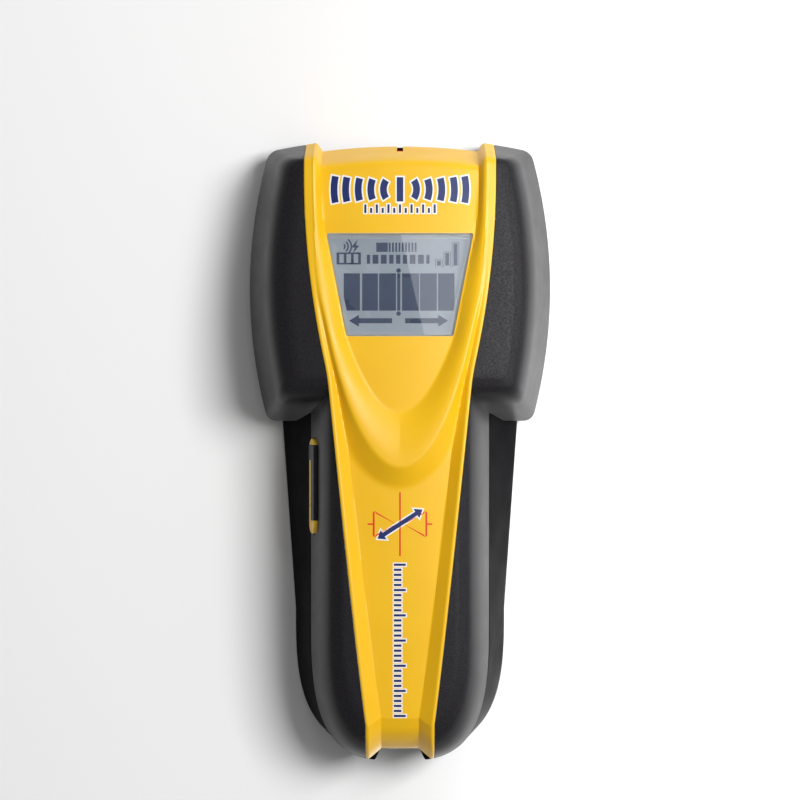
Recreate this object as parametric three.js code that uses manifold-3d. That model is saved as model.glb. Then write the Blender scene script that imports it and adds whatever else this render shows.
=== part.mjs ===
// Hand-held wall stud finder: a black base tub, a charcoal upper housing with a broad sensing head
// and a narrow grip, a yellow front cover that runs from end to end, a tilted display, a side power
// button, and a 9 volt battery behind a hinged door in the underside.
//
// Millimetres. The tool lies on its back on z = 0. +Z points out of the display, +Y towards the
// sensing head and +X to the right of a person reading the display. The origin is the centre of the
// bottom of the overall box.

import * as THREE from 'three';
import { mergeVertices } from 'three/addons/utils/BufferGeometryUtils.js';
import Module from 'manifold-3d';

const wasm = await Module();
wasm.setup();

// ---------------------------------------------------------------- driving dimensions

const GAP = 0.3; // air between neighbouring pieces
const WALL = 2.2; // moulded wall thickness
const BASE_WALL = 2;

const HEAD = {
  halfWidth: 42.6, // widest point of the head, at y = widestAt
  widestAt: 46,
  sideBow: 0.0036, // how fast the sides draw in away from the widest point
  endCrown: 88.9, // head end of the outline on the centre line
  endRadius: 170,
  lowEnd: 8.5, // where the head stops and the grip goes on
  parting: 8, // height of the joint between base and upper housing
  corner: 2.7, // rounding of the outline's corners
};

const GRIP = {
  halfWidth: 25,
  tailCentre: -45, // the tail is a superellipse about this y
  tailLength: 41.6,
  tailPower: 3.2,
  frontEnd: 34, // hidden inside the head
  parting: 18,
};

const CHANNEL = { inner: 5, outer: 7.3, baseTopRecess: 3.6, baseBottomRecess: 0.4 }; // at the tail

const BASE_GRIP = {
  bottomHalfWidth: 30.1, // at the tail centre
  bottomTaper: 0.0745,
  topHalfWidth: 25.2,
  bottomTail: 40,
  topTail: 41.8,
  tailPower: 3.1,
  frontEnd: 12,
};

const TOP = { height: 36.5, crownAt: -12, headFall: 0.000709, tailFall: 0.00095, crown: 4.2 / 42 ** 2 };

// The cover is W(y) wide on each side of the centre line.
const COVER = {
  kink: 21.5,
  gripWidth: 20.03,
  gripTaper: 0.1035,
  headWidth: 26.6,
  headFullAt: 78,
  headBow: 0.00206,
  thickness: 2.2,
  panelDepth: 2.4, // sunk grip panel below the rails
  trayDepth: 2.5, // sunk display tray below the rails
  railCrest: 0.8,
  ledge: 1.8, // rim of the upper housing that carries the cover
  ledgeDepth: 2.7,
  deckDepth: 5, // plates that join the two rims under the cover
  deckUnderside: 6.8,
};

const WINDOW = { head: 60.7, headHalfWidth: 20.4, low: 32, lowHalfWidth: 14.8, recess: 0.7 };

const BATTERY = { halfWidth: 13.25, length: 48.5, height: 17.5, low: -72.1, floor: 3.4 };
const BAY = { halfWidth: 15.2, tail: -74.2, head: -15.5, roof: 23.4, wall: 1.5, tailWall: 1.1 };
const DOOR = { halfWidth: 14.7, tail: -73.9, bottom: 0.3, thickness: 1.7 };
const DOOR_HINGE = { y: -17.5, z: 2, radius: 1, barrel: 1.7 };
const LATCH = { halfWidth: 5, root: -65.5, tail: -73.6 };

const BUTTON = { tail: -22.9, head: 3.7, low: 19.6, high: 25.4 };
const SWITCH = { y: -9.6, z: 24.1 };

// x and y of each case screw, and how high its thread reaches.
const CASE_SCREWS = [[-34, 72, 15], [34, 72, 15], [-31, 17, 17], [31, 17, 17], [-20, -66, 21], [20, -66, 21]];
const BOARD_SCREWS = [[-26.5, 66], [26.5, 66], [-26.5, 36], [26.5, 36]];

const MAIN_BOARD = { bottom: 20, top: 21.6 };
const SENSOR_BOARD = { bottom: 3.3, top: 4.9, halfWidth: 29, low: 22.6, head: 74 };

// ---------------------------------------------------------------- shape functions

const clamp01 = (t) => Math.min(1, Math.max(0, t));
const mix = (a, b, t) => a + (b - a) * t;
const smooth = (a, b, v) => {
  const t = clamp01((v - a) / (b - a));
  return t * t * (3 - 2 * t);
};

// Value of a broken line through [position, value] stops.
function along(stops, position) {
  const last = stops.length - 1;
  if (position <= stops[0][0]) return stops[0][1];
  for (let i = 0; i < last; i += 1) {
    const [p0, v0] = stops[i];
    const [p1, v1] = stops[i + 1];
    if (position <= p1) return mix(v0, v1, (position - p0) / (p1 - p0));
  }
  return stops[last][1];
}

// The crowned top of the whole tool, rails and charcoal alike.
function topHeight(x, y) {
  const fall = y > TOP.crownAt ? TOP.headFall : TOP.tailFall;
  return TOP.height - fall * (y - TOP.crownAt) ** 2 - TOP.crown * x * x;
}

const headSide = (y) => HEAD.halfWidth - HEAD.sideBow * (y - HEAD.widestAt) ** 2;
const headEnd = (x) => HEAD.endCrown - (x * x) / (2 * HEAD.endRadius);

// How far each wall has leaned in at a share of its height, from parting line to top.
const HEAD_SIDE_LEAN = [[0, 0], [0.55, 3.7], [0.75, 5.1], [0.88, 6.6], [0.96, 8.4], [1, 11]];
const HEAD_LOW_LEAN = [[0, 0], [0.55, 3.8], [0.75, 5.4], [0.88, 7.2], [0.96, 9], [1, 12]];
const HEAD_END_LEAN = [[0, 0], [0.88, 5], [0.96, 5.7], [1, 7]];
const GRIP_SIDE_LEAN = [[0, 0], [0.35, 1.6], [0.6, 3], [0.8, 4.6], [0.92, 6.2], [1, 8.6]];
const GRIP_TAIL_LEAN = [[0, 0], [0.35, 0.9], [0.6, 2.2], [0.8, 4.2], [0.92, 6.2], [1, 9.5]];
const LEVELS = [0, 0.35, 0.55, 0.75, 0.88, 0.96, 1];
const HOLLOW_LEVELS = [0, 0.55, 0.88, 1];

function coverWidth(y) {
  if (y < COVER.kink) return COVER.gripWidth - COVER.gripTaper * (COVER.kink - y);
  const fromFull = Math.max(0, COVER.headFullAt - y);
  const bow = COVER.headWidth - COVER.headBow * fromFull ** 2;
  return Math.max(bow, COVER.gripWidth + (y - COVER.kink) * 0.1);
}

const panelWidth = (y) => 15 + ((y - 7) * 10) / 89;

// Three curves of the cover's relief as [x, y] points: the foot of the display tray, the crest of
// the U-shaped yoke below it, and the height falls away outside that crest.
const TRAY_FOOT = [
  [0, 11.2], [5, 13.6], [10, 20.8], [14.8, 32.2], [17.2, 44], [19.2, 54], [20.9, 62], [21.6, 70], [21.9, 95],
];
const YOKE_CREST = [
  [0, -4], [2.5, -3.4], [5, -1.7], [7.5, 1], [10, 4.9], [12.2, 9.2], [14.2, 14], [16.5, 21], [18.4, 28],
  [20.4, 36.5], [22.1, 44], [23.1, 54], [23.6, 66], [23.9, 95],
];
const RAIL_RISE = 0.1;
const YOKE_RISE = 0.4;
const YOKE_FALL_WIDTH = 5.5; // on the centre line
const YOKE_SIDE_FALL_WIDTH = 2.2; // beside the tray

function distanceTo(curve, x, y) {
  let best = Infinity;
  for (let i = 0; i + 1 < curve.length; i += 1) {
    const [x0, y0] = curve[i];
    const [x1, y1] = curve[i + 1];
    const t = clamp01(((x - x0) * (x1 - x0) + (y - y0) * (y1 - y0)) / ((x1 - x0) ** 2 + (y1 - y0) ** 2));
    best = Math.min(best, Math.hypot(x - mix(x0, x1, t), y - mix(y0, y1, t)));
  }
  return best;
}

const isInside = (curve, x, y) => y > curve[0][1] && x < along(curve.map(([cx, cy]) => [cy, cx]), y);

// Depth of the cover's face below the crowned top; a negative depth stands proud of it.
function coverDepth(xSigned, y) {
  const x = Math.abs(xSigned);
  if (isInside(TRAY_FOOT, x, y)) return COVER.trayDepth;
  if (isInside(YOKE_CREST, x, y)) {
    const fromTray = distanceTo(TRAY_FOOT, x, y);
    const fromCrest = distanceTo(YOKE_CREST, x, y);
    const rise = mix(YOKE_RISE, RAIL_RISE, smooth(30, 56, y));
    return mix(COVER.trayDepth, -rise, smooth(0, 1, fromTray / (fromTray + fromCrest)));
  }
  const crest = coverWidth(y) - COVER.railCrest;
  const railShare = clamp01((x - panelWidth(y)) / (crest - panelWidth(y)));
  const rail = mix(mix(COVER.panelDepth, -RAIL_RISE, railShare), -RAIL_RISE, smooth(30, 56, y));
  const fallWidth = mix(YOKE_FALL_WIDTH, YOKE_SIDE_FALL_WIDTH, smooth(-4, 20, y));
  const fall = clamp01(distanceTo(YOKE_CREST, x, y) / fallWidth);
  const yoke = mix(-YOKE_RISE, COVER.panelDepth, fall);
  return Math.min(rail, yoke);
}

// ---------------------------------------------------------------- mesh and solid helpers

function geometryFrom(points, faces) {
  const geometry = new THREE.BufferGeometry();
  geometry.setAttribute('position', new THREE.Float32BufferAttribute(points.flat(), 3));
  geometry.setIndex(faces.flat());
  return geometry;
}

function solid(geometry) {
  const bare = geometry.clone();
  bare.deleteAttribute('normal');
  bare.deleteAttribute('uv');
  const merged = mergeVertices(bare, 1e-4);
  const mesh = new wasm.Mesh({
    numProp: 3,
    vertProperties: new Float32Array(merged.attributes.position.array),
    triVerts: new Uint32Array(merged.index.array),
  });
  mesh.merge();
  return new wasm.Manifold(mesh);
}

function geometryOf(manifold) {
  const mesh = manifold.getMesh();
  const geometry = new THREE.BufferGeometry();
  geometry.setAttribute('position', new THREE.BufferAttribute(mesh.vertProperties, 3));
  geometry.setIndex(new THREE.BufferAttribute(mesh.triVerts, 1));
  return geometry;
}

const unite = (solids) => solids.reduce((whole, next) => whole.add(next));

function box(x0, x1, y0, y1, z0, z1) {
  const geometry = new THREE.BoxGeometry(x1 - x0, y1 - y0, z1 - z0);
  return solid(geometry.translate((x0 + x1) / 2, (y0 + y1) / 2, (z0 + z1) / 2));
}

function postZ(x, y, radius, z0, z1, sides = 12) {
  const geometry = new THREE.CylinderGeometry(radius, radius, z1 - z0, sides);
  return solid(geometry.rotateX(Math.PI / 2).translate(x, y, (z0 + z1) / 2));
}

function rodX(y, z, radius, x0, x1, sides = 12) {
  const geometry = new THREE.CylinderGeometry(radius, radius, x1 - x0, sides);
  return solid(geometry.rotateZ(Math.PI / 2).translate((x0 + x1) / 2, y, z));
}

function rodY(x, z, radius, y0, y1, sides = 16) {
  const geometry = new THREE.CylinderGeometry(radius, radius, y1 - y0, sides);
  return solid(geometry.translate(x, (y0 + y1) / 2, z));
}

function plate(outline, z0, z1) {
  const shape = new THREE.Shape(outline.map(([x, y]) => new THREE.Vector2(x, y)));
  const geometry = new THREE.ExtrudeGeometry(shape, { depth: z1 - z0, bevelEnabled: false });
  return solid(geometry.translate(0, 0, z0));
}

// Mirrors the right half of a ring, which runs from the low centre to the head centre.
function mirrored(half) {
  const left = half.slice(1, -1).map(([x, y]) => [-x, y]).reverse();
  return [...half, ...left];
}

// A closed body through rings of equal length, each point [x, y, z]. The bottom is closed by a fan.
// The top is closed by shrunken copies of the last ring that follow heightAt.
function loft(rings, centreY, heightAt) {
  const count = rings[0].length;
  const layers = [...rings];
  const last = rings[rings.length - 1];
  if (heightAt) {
    for (const scale of [0.7, 0.35]) {
      layers.push(last.map(([x, y]) => {
        const [sx, sy] = [x * scale, centreY + (y - centreY) * scale];
        return [sx, sy, heightAt(sx, sy)];
      }));
    }
  }
  const topCentre = heightAt ? heightAt(0, centreY) : last[0][2];
  const points = [...layers.flat(), [0, centreY, rings[0][0][2]], [0, centreY, topCentre]];
  const bottomPoint = points.length - 2;
  const topPoint = points.length - 1;
  const faces = [];
  for (let j = 0; j < count; j += 1) {
    const k = (j + 1) % count;
    for (let i = 0; i + 1 < layers.length; i += 1) {
      const [low, high] = [i * count, (i + 1) * count];
      faces.push([low + j, low + k, high + k], [low + j, high + k, high + j]);
    }
    const top = (layers.length - 1) * count;
    faces.push([k, j, bottomPoint], [top + j, top + k, topPoint]);
  }
  return solid(geometryFrom(points, faces));
}

// ---------------------------------------------------------------- outlines and mounds

// Outline of the head drawn in by side, end and low, with rounded corners.
function headRing(side, end, low, corner, endRecess = 0) {
  const half = [];
  const lowY = HEAD.lowEnd + low;
  const lowX = headSide(lowY) - side;
  const endAt = (x) => headEnd(x) - end - endRecess * (1 - smooth(21.9, 24, Math.abs(x)));
  for (const share of [0, 0.35, 0.7, 1]) half.push([share * (lowX - corner), lowY]);
  const bend = (from, through, to) => {
    for (const t of [0.3, 0.65]) {
      half.push([0, 1].map((k) => (1 - t) ** 2 * from[k] + 2 * t * (1 - t) * through[k] + t * t * to[k]));
    }
  };
  const sideStart = lowY + corner;
  bend([lowX - corner, lowY], [lowX, lowY], [headSide(sideStart) - side, sideStart]);
  let endX = headSide(endAt(HEAD.halfWidth - side)) - side;
  const sideStop = endAt(endX) - corner;
  for (let i = 0; i <= 8; i += 1) {
    const y = mix(sideStart, sideStop, i / 8);
    half.push([headSide(y) - side, y]);
  }
  endX = headSide(sideStop + corner) - side;
  const cornerEnd = [endX - corner, endAt(endX - corner)];
  bend([headSide(sideStop) - side, sideStop], [endX, endAt(endX)], cornerEnd);
  half.push(cornerEnd);
  for (const x of [24.4, 21.8, 14.5, 7, 0]) half.push([x, endAt(x)]);
  return mirrored(half);
}

// Outline of a tail: a superellipse, then straight sides to the front end. The middle of the tail
// may be drawn in by recess, below the cover's channel.
function tailRing(halfWidthAt, tailLength, power, frontEnd, recess = 0) {
  const widest = halfWidthAt(GRIP.tailCentre);
  const half = [0, CHANNEL.inner, CHANNEL.outer].map((x) => {
    const tail = tailLength * (1 - (x / widest) ** power) ** (1 / power);
    return [x, GRIP.tailCentre - tail + recess * (1 - smooth(CHANNEL.inner, CHANNEL.outer, x))];
  });
  const channelAngle = Math.asin((CHANNEL.outer / widest) ** (power / 2));
  const steps = 8;
  for (let i = 1; i <= steps; i += 1) {
    const angle = mix(channelAngle, Math.PI / 2, i / steps);
    const reach = Math.max(0, Math.cos(angle)) ** (2 / power);
    half.push([widest * Math.sin(angle) ** (2 / power), GRIP.tailCentre - tailLength * reach]);
  }
  for (const share of [0.25, 0.5, 0.75, 1]) {
    const y = mix(GRIP.tailCentre, frontEnd, share);
    half.push([halfWidthAt(y), y]);
  }
  half.push([0, frontEnd]);
  return mirrored(half);
}

// Stacks an outline up a mound. One that starts below its parting line has straight sides to there.
function mound(ringAt, shrink, bottom, parting, centreY) {
  const rings = (shrink > 0 ? HOLLOW_LEVELS : LEVELS).map((level) => (
    ringAt(level).map(([x, y]) => [x, y, mix(parting, topHeight(x, y) - shrink, level)])
  ));
  if (bottom < parting) rings.unshift(ringAt(0).map(([x, y]) => [x, y, bottom]));
  return loft(rings, centreY, (x, y) => topHeight(x, y) - shrink);
}

// The head's outer mound, or with a positive shrink its hollow.
function headMound(shrink, bottom) {
  const ringAt = (level) => headRing(
    along(HEAD_SIDE_LEAN, level) + shrink,
    along(HEAD_END_LEAN, level) + shrink,
    along(HEAD_LOW_LEAN, level) + shrink,
    mix(HEAD.corner, 2, level),
  );
  return mound(ringAt, shrink, bottom, HEAD.parting + GAP, HEAD.widestAt);
}

function gripMound(shrink, bottom, frontEnd) {
  const ringAt = (level) => {
    const halfWidth = GRIP.halfWidth - along(GRIP_SIDE_LEAN, level) - shrink;
    const tail = GRIP.tailLength - along(GRIP_TAIL_LEAN, level) - shrink;
    return tailRing(() => halfWidth, tail, GRIP.tailPower, frontEnd);
  };
  return mound(ringAt, shrink, bottom, GRIP.parting + GAP, -25);
}

// Grip part of the base tub, whose sides lean in from the floor to the parting line.
function baseGripBlock(grow, z0, z1, frontEnd) {
  const ringAt = (z, inset) => {
    const rise = z / GRIP.parting;
    const bottomWidth = (y) => BASE_GRIP.bottomHalfWidth + BASE_GRIP.bottomTaper * (y - GRIP.tailCentre);
    const halfWidthAt = (y) => mix(bottomWidth(y), BASE_GRIP.topHalfWidth, rise) + grow - inset;
    const tail = mix(BASE_GRIP.bottomTail, BASE_GRIP.topTail, rise) + grow - inset;
    const recess = mix(CHANNEL.baseBottomRecess, CHANNEL.baseTopRecess, rise);
    return tailRing(halfWidthAt, tail, BASE_GRIP.tailPower, frontEnd, recess).map(([x, y]) => [x, y, z]);
  };
  const rounded = z0 === 0 ? [ringAt(0, 1.2), ringAt(0.4, 0.4), ringAt(1.4, 0)] : [ringAt(z0, 0)];
  return loft([...rounded, ringAt(z1, 0)], -25, null);
}

function baseHeadBlock(shrink, z0, z1) {
  const ringAt = (z, inset) => {
    const ring = headRing(shrink + inset, shrink + inset, shrink + inset, HEAD.corner, COVER.trayDepth + 0.1);
    return ring.map(([x, y]) => [x, y, z]);
  };
  const rounded = z0 === 0 ? [ringAt(0, 1.2), ringAt(0.4, 0.4), ringAt(1.4, 0)] : [ringAt(z0, 0)];
  return loft([...rounded, ringAt(z1, 0)], HEAD.widestAt, null);
}

// ---------------------------------------------------------------- the cover's sheet

// Where a sheet of this half width has lines of points, and the steps along it. The cover's relief
// needs the fine set, and plain sheets under it the coarse one.
const RAIL_LINES = [3.6, 2.75, 2.1, 1.1, 0.5, 0]; // inward from the edge
const FINE = {
  across: (width) => [
    ...[0, 0.25, 0.5, 0.75].map((share) => share * (width - RAIL_LINES[0])),
    ...RAIL_LINES.map((inward) => width - inward),
  ],
  along: [
    -80, -70, -58, -45, -32, -20, -12, -9, -6.5, -4, -1.5, 2, 5.5, 9, 12.5, 16, 20, 24.5, 29, 34, 40, 46, 53,
    60, 67, 74, 79,
  ],
};
const COARSE = {
  across: (width) => [0, width / 2, width],
  along: [-80, -70, -58, -44, -26, -8, 8, 20, 32, 44, 56, 68, 79],
};
const HEAD_WALL_LEVELS = [0.96, 0.88, 0.45];
const TAIL_WALL_LEVELS = [0.35, 0.6, 0.8, 0.92];
const WALL_FOOT = 0.02;

const headWallY = (x, level, depth) => headEnd(x) - along(HEAD_END_LEAN, level) - depth;

function tailWallY(x, level, depth) {
  const halfWidth = GRIP.halfWidth - along(GRIP_SIDE_LEAN, level);
  const tail = GRIP.tailLength - along(GRIP_TAIL_LEAN, level);
  const reach = (1 - Math.min(1, Math.abs(x / halfWidth)) ** GRIP.tailPower) ** (1 / GRIP.tailPower);
  return GRIP.tailCentre - tail * reach + TAIL_DEPTH_GAIN * depth;
}

const TAIL_DEPTH_GAIN = 1.35; // the channel is sunk further in the tail wall than in the top
const TOP_LEVEL = { head: 0.96, tail: 0.92 }; // where the end walls pass over into the top
const CORNER_STEP = 0.3;

// A point of the cover's surface on the tail wall, top or head wall, sunk by depth.
function coverPoint(x, probeY, { part, value }, depthAt) {
  const depth = depthAt(x, probeY);
  if (part === 'top') {
    const tailLimit = tailWallY(x, TOP_LEVEL.tail, depth) + CORNER_STEP;
    const headLimit = headWallY(x, TOP_LEVEL.head, depth) - CORNER_STEP;
    const y = Math.min(headLimit, Math.max(tailLimit, value));
    return [x, y, topHeight(x, y) - depth];
  }
  const wallY = part === 'head' ? headWallY(x, value, depth) : tailWallY(x, value, depth);
  const parting = part === 'head' ? HEAD.parting : GRIP.parting;
  return [x, wallY, mix(parting + GAP, topHeight(x, wallY) - depth, value)];
}

// A closed sheet between two depths below the crowned top, wrapped down both end walls.
function coverSheet(steps, widthExtra, outerDepthAt, innerDepthAt, lowest) {
  const stations = [
    ...[lowest, ...TAIL_WALL_LEVELS].map((value) => ({ part: 'tail', probeY: -80, value })),
    ...steps.along.map((value) => ({ part: 'top', probeY: value, value })),
    ...[...HEAD_WALL_LEVELS, lowest].map((value) => ({ part: 'head', probeY: 80, value })),
  ];
  const columns = 2 * steps.across(1).length - 1;
  const rows = stations.length;
  const points = [];
  for (const depthAt of [outerDepthAt, innerDepthAt]) {
    for (const station of stations) {
      const right = steps.across(coverWidth(station.probeY) + widthExtra);
      const left = right.slice(1).map((x) => -x).reverse();
      for (const x of [...left, ...right]) points.push(coverPoint(x, station.probeY, station, depthAt));
    }
  }
  const at = (side, row, column) => (side * rows + row) * columns + column;
  const faces = [];
  const quad = (a, b, c, d) => faces.push([a, b, c], [a, c, d]);
  for (let r = 0; r + 1 < rows; r += 1) {
    for (let c = 0; c + 1 < columns; c += 1) {
      quad(at(0, r, c), at(0, r, c + 1), at(0, r + 1, c + 1), at(0, r + 1, c));
      quad(at(1, r, c), at(1, r + 1, c), at(1, r + 1, c + 1), at(1, r, c + 1));
    }
    quad(at(0, r, 0), at(0, r + 1, 0), at(1, r + 1, 0), at(1, r, 0));
    quad(at(0, r, columns - 1), at(1, r, columns - 1), at(1, r + 1, columns - 1), at(0, r + 1, columns - 1));
  }
  for (let c = 0; c + 1 < columns; c += 1) {
    quad(at(0, 0, c), at(1, 0, c), at(1, 0, c + 1), at(0, 0, c + 1));
    quad(at(0, rows - 1, c), at(0, rows - 1, c + 1), at(1, rows - 1, c + 1), at(1, rows - 1, c));
  }
  return solid(geometryFrom(points, faces));
}

// Straight-sided block under the cover, drawn in by inset from its edge.
function coverPrism(inset, z0, z1) {
  const half = [-95, ...COARSE.along, 95];
  const right = half.map((y) => [coverWidth(y) - inset, y]);
  const left = half.map((y) => [inset - coverWidth(y), y]).reverse();
  return plate([...right, ...left], z0, z1);
}

const windowOutline = (grow) => [
  [-WINDOW.lowHalfWidth - grow, WINDOW.low - grow],
  [WINDOW.lowHalfWidth + grow, WINDOW.low - grow],
  [WINDOW.headHalfWidth + grow, WINDOW.head + grow],
  [-WINDOW.headHalfWidth - grow, WINDOW.head + grow],
];

// ---------------------------------------------------------------- housings

function makeFrontCover() {
  const underside = (x, y) => {
    const atRim = Math.abs(x) > coverWidth(y) - COVER.ledge - 1.5 * GAP;
    return atRim ? COVER.thickness : coverDepth(x, y) + COVER.thickness;
  };
  const sheet = coverSheet(FINE, 0, coverDepth, underside, WALL_FOOT);
  const lightSlot = box(-0.85, 0.85, 78, 92, 5, 16);
  return sheet.subtract(plate(windowOutline(0), 20, 40)).subtract(lightSlot);
}

// Stadium in the Y-Z plane, the outline of the button and of its hole.
function buttonOutline(grow) {
  const radius = (BUTTON.high - BUTTON.low) / 2;
  const middle = (BUTTON.high + BUTTON.low) / 2;
  const outline = [];
  for (const [y, start] of [[BUTTON.head - radius, 0], [BUTTON.tail + radius, Math.PI]]) {
    for (let i = 0; i <= 6; i += 1) {
      const angle = start + Math.PI / 2 - (i / 6) * Math.PI;
      outline.push([y + (radius + grow) * Math.cos(angle), middle + (radius + grow) * Math.sin(angle)]);
    }
  }
  return outline;
}

// A bar along X with the button's outline; its outer end follows outerAt(z).
function buttonBar(grow, outerAt, inner) {
  const outline = buttonOutline(grow);
  const count = outline.length;
  const middleY = (BUTTON.head + BUTTON.tail) / 2;
  const middleZ = (BUTTON.high + BUTTON.low) / 2;
  const points = [
    ...outline.map(([y, z]) => [outerAt(z), y, z]),
    ...outline.map(([y, z]) => [inner, y, z]),
    [outerAt(middleZ), middleY, middleZ],
    [inner, middleY, middleZ],
  ];
  const faces = [];
  for (let j = 0; j < count; j += 1) {
    const k = (j + 1) % count;
    faces.push([j, count + k, k], [j, count + j, count + k]);
    faces.push([k, 2 * count, j], [count + j, 2 * count + 1, count + k]);
  }
  const bar = solid(geometryFrom(points, faces.map(([a, b, c]) => [a, c, b])));
  return bar.volume() > 0 ? bar : solid(geometryFrom(points, faces));
}

const DECKED = [[-69, 8], [65, 75.5]]; // stretches of y where plates join the rims
const isDecked = (y) => DECKED.some(([low, high]) => y >= low && y <= high);

function makeUpperHousing() {
  const whole = headMound(0, HEAD.parting + GAP).add(gripMound(0, GRIP.parting + GAP, GRIP.frontEnd));
  const coverSeat = coverSheet(COARSE, 1.5 * GAP, () => -12, () => COVER.ledgeDepth, -0.15);
  const ledgeUnderside = (x, y) => (isDecked(y) ? COVER.deckUnderside : COVER.ledgeDepth + 1.8);
  const ledge = coverSheet(COARSE, 2.4, () => COVER.ledgeDepth, ledgeUnderside, WALL_FOOT);
  const hollow = headMound(WALL, 5).add(gripMound(WALL, 12, GRIP.frontEnd - 4));
  const shell = whole.subtract(coverSeat).subtract(hollow).add(ledge.intersect(whole));
  const deck = coverSheet(COARSE, 0, () => COVER.deckDepth, () => COVER.deckUnderside, WALL_FOOT)
    .intersect(unite(DECKED.map(([low, high]) => box(-40, 40, low, high, 22, 40))));
  const posts = unite([
    ...CASE_SCREWS.map(([x, y]) => postZ(x, y, 3.2, y < 0 ? GRIP.parting + GAP : HEAD.parting + GAP, 40)),
    ...BOARD_SCREWS.map(([x, y]) => postZ(x, y, 2.6, MAIN_BOARD.top + GAP, 40)),
  ]);
  const pilots = unite([
    ...CASE_SCREWS.map(([x, y, reach]) => postZ(x, y, 1.7, 4, reach + 1)),
    ...BOARD_SCREWS.map(([x, y]) => postZ(x, y, 1.4, 15, 26)),
  ]);
  const underCover = coverPrism(COVER.ledge, 4, 60);
  return shell
    .add(posts.intersect(whole.subtract(coverSeat)))
    .subtract(underCover)
    .add(deck)
    .subtract(pilots)
    .subtract(buttonBar(0.4, () => -32, -16));
}

function makeBaseHousing() {
  const tub = baseHeadBlock(GAP, 0, HEAD.parting)
    .add(baseGripBlock(0, 0, GRIP.parting, BASE_GRIP.frontEnd))
    .subtract(baseHeadBlock(GAP + BASE_WALL, BASE_WALL, HEAD.parting + 2))
    .subtract(baseGripBlock(-BASE_WALL, BASE_WALL, GRIP.parting + 2, BASE_GRIP.frontEnd + 4));
  const bosses = unite(CASE_SCREWS.map(([x, y]) => postZ(x, y, 4.1, 1, y < 0 ? GRIP.parting : 8)));
  const bay = box(
    -BAY.halfWidth - BAY.wall, BAY.halfWidth + BAY.wall, BAY.tail - BAY.tailWall, BAY.head + BAY.wall,
    1, BAY.roof + BAY.wall,
  );
  const boardRests = unite([-1, 1].flatMap((side) => [25.4, 76].map((y) => postZ(side * 26.6, y, 1.8, 1.5, 3))));
  const envelope = unite([
    baseGripBlock(-0.6, 0, GRIP.parting, 4),
    gripMound(WALL + GAP, 12, 4),
    baseHeadBlock(GAP + 0.6, 0, HEAD.parting),
  ]);
  const cuts = unite([
    box(-BAY.halfWidth, BAY.halfWidth, BAY.tail, BAY.head, -1, BAY.roof),
    box(-5, 5, BAY.head - 1, BAY.head + 4, 9.5, 15.5),
    rodX(DOOR_HINGE.y, DOOR_HINGE.z, DOOR_HINGE.radius + GAP, -BAY.halfWidth - 0.9, BAY.halfWidth + 0.9),
    ...CASE_SCREWS.map(([x, y]) => postZ(x, y, 3.1, -1, 3.4)),
    ...CASE_SCREWS.map(([x, y]) => postZ(x, y, 1.7, 2, 30)),
    box(-16, 16, 40, 62, -1, 0.6),
  ]);
  const wingRoom = headMound(-GAP, HEAD.parting);
  return tub.add(bosses.add(bay).intersect(envelope)).add(boardRests).subtract(cuts).subtract(wingRoom);
}

// ---------------------------------------------------------------- display

// The display is tilted so that its low edge stands higher, in line with the tray around it.
const trayHeight = (y) => topHeight(0, y) - COVER.trayDepth;
const DISPLAY_SLOPE = (trayHeight(WINDOW.low) - trayHeight(WINDOW.head)) / (WINDOW.head - WINDOW.low);
const DISPLAY_TILT = -Math.atan(DISPLAY_SLOPE);
const DISPLAY_CENTRE = {
  y: (WINDOW.low + WINDOW.head) / 2,
  z: (trayHeight(WINDOW.low) + trayHeight(WINDOW.head)) / 2 - WINDOW.recess,
};

// A display layer between two heights below the window's face, its outline in tool coordinates.
function displayLayer(outline, low, high) {
  return plate(outline.map(([x, y]) => [x, y - DISPLAY_CENTRE.y]), low, high);
}

const rectangle = (x, y0, y1) => [[-x, y0], [x, y0], [x, y1], [-x, y1]];

const makeWindow = () => displayLayer(windowOutline(-GAP), -1.2, 0);

function makeGasket() {
  return displayLayer(windowOutline(-GAP), -2.3, -1.5).subtract(displayLayer(windowOutline(-1.3), -3, 0));
}

const makeLcdPanel = () => displayLayer(rectangle(21.3, 31.6, 61.6), -4.6, -2.6);

function makeLcdCarrier() {
  const frame = displayLayer(rectangle(21.3, 31.6, 61.6), -6.1, -4.9);
  return frame.subtract(displayLayer(rectangle(18.5, 35.6, 57.6), -7, -4));
}

// ---------------------------------------------------------------- boards and what is on them

function makeMainBoard() {
  const outline = [
    [-13, -12.8], [13, -12.8], [13, 24], [21, 30], [29.8, 30], [29.8, 73], [-29.8, 73], [-29.8, 30], [-21, 30],
    [-13, 24],
  ];
  const holes = unite(BOARD_SCREWS.map(([x, y]) => postZ(x, y, 1.4, 19, 23)));
  return plate(outline, MAIN_BOARD.bottom, MAIN_BOARD.top).subtract(holes);
}

function makeSensorBoard() {
  const { halfWidth, low, head, bottom, top } = SENSOR_BOARD;
  return plate(rectangle(halfWidth, low, head), bottom, top);
}

const makeSensorPlate = (x) => box(x - 7, x + 7, 30, 70, 2.8, 3.05);

function makeBuzzer() {
  const body = postZ(0, 2, 6.5, MAIN_BOARD.top + GAP, 26.4, 28);
  return body.subtract(postZ(0, 2, 1, 25.4, 28));
}

function makeLed() {
  const dome = solid(new THREE.SphereGeometry(1.5, 16, 8).translate(0, 79.4, 11.5));
  return rodY(0, 11.5, 1.5, 75.4, 79.4).add(dome).add(rodY(0, 11.5, 1.9, 74.6, 75.8));
}

const makeLens = () => box(-0.5, 0.5, 82.2, 84.6, 8.7, 15.4);

function makeSwitchBody() {
  const body = box(-16.2, -10.4, SWITCH.y - 3, SWITCH.y + 3, MAIN_BOARD.top + GAP, 26.4);
  return body.subtract(rodX(SWITCH.y, SWITCH.z, 1.6, -17, -12.6));
}

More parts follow.
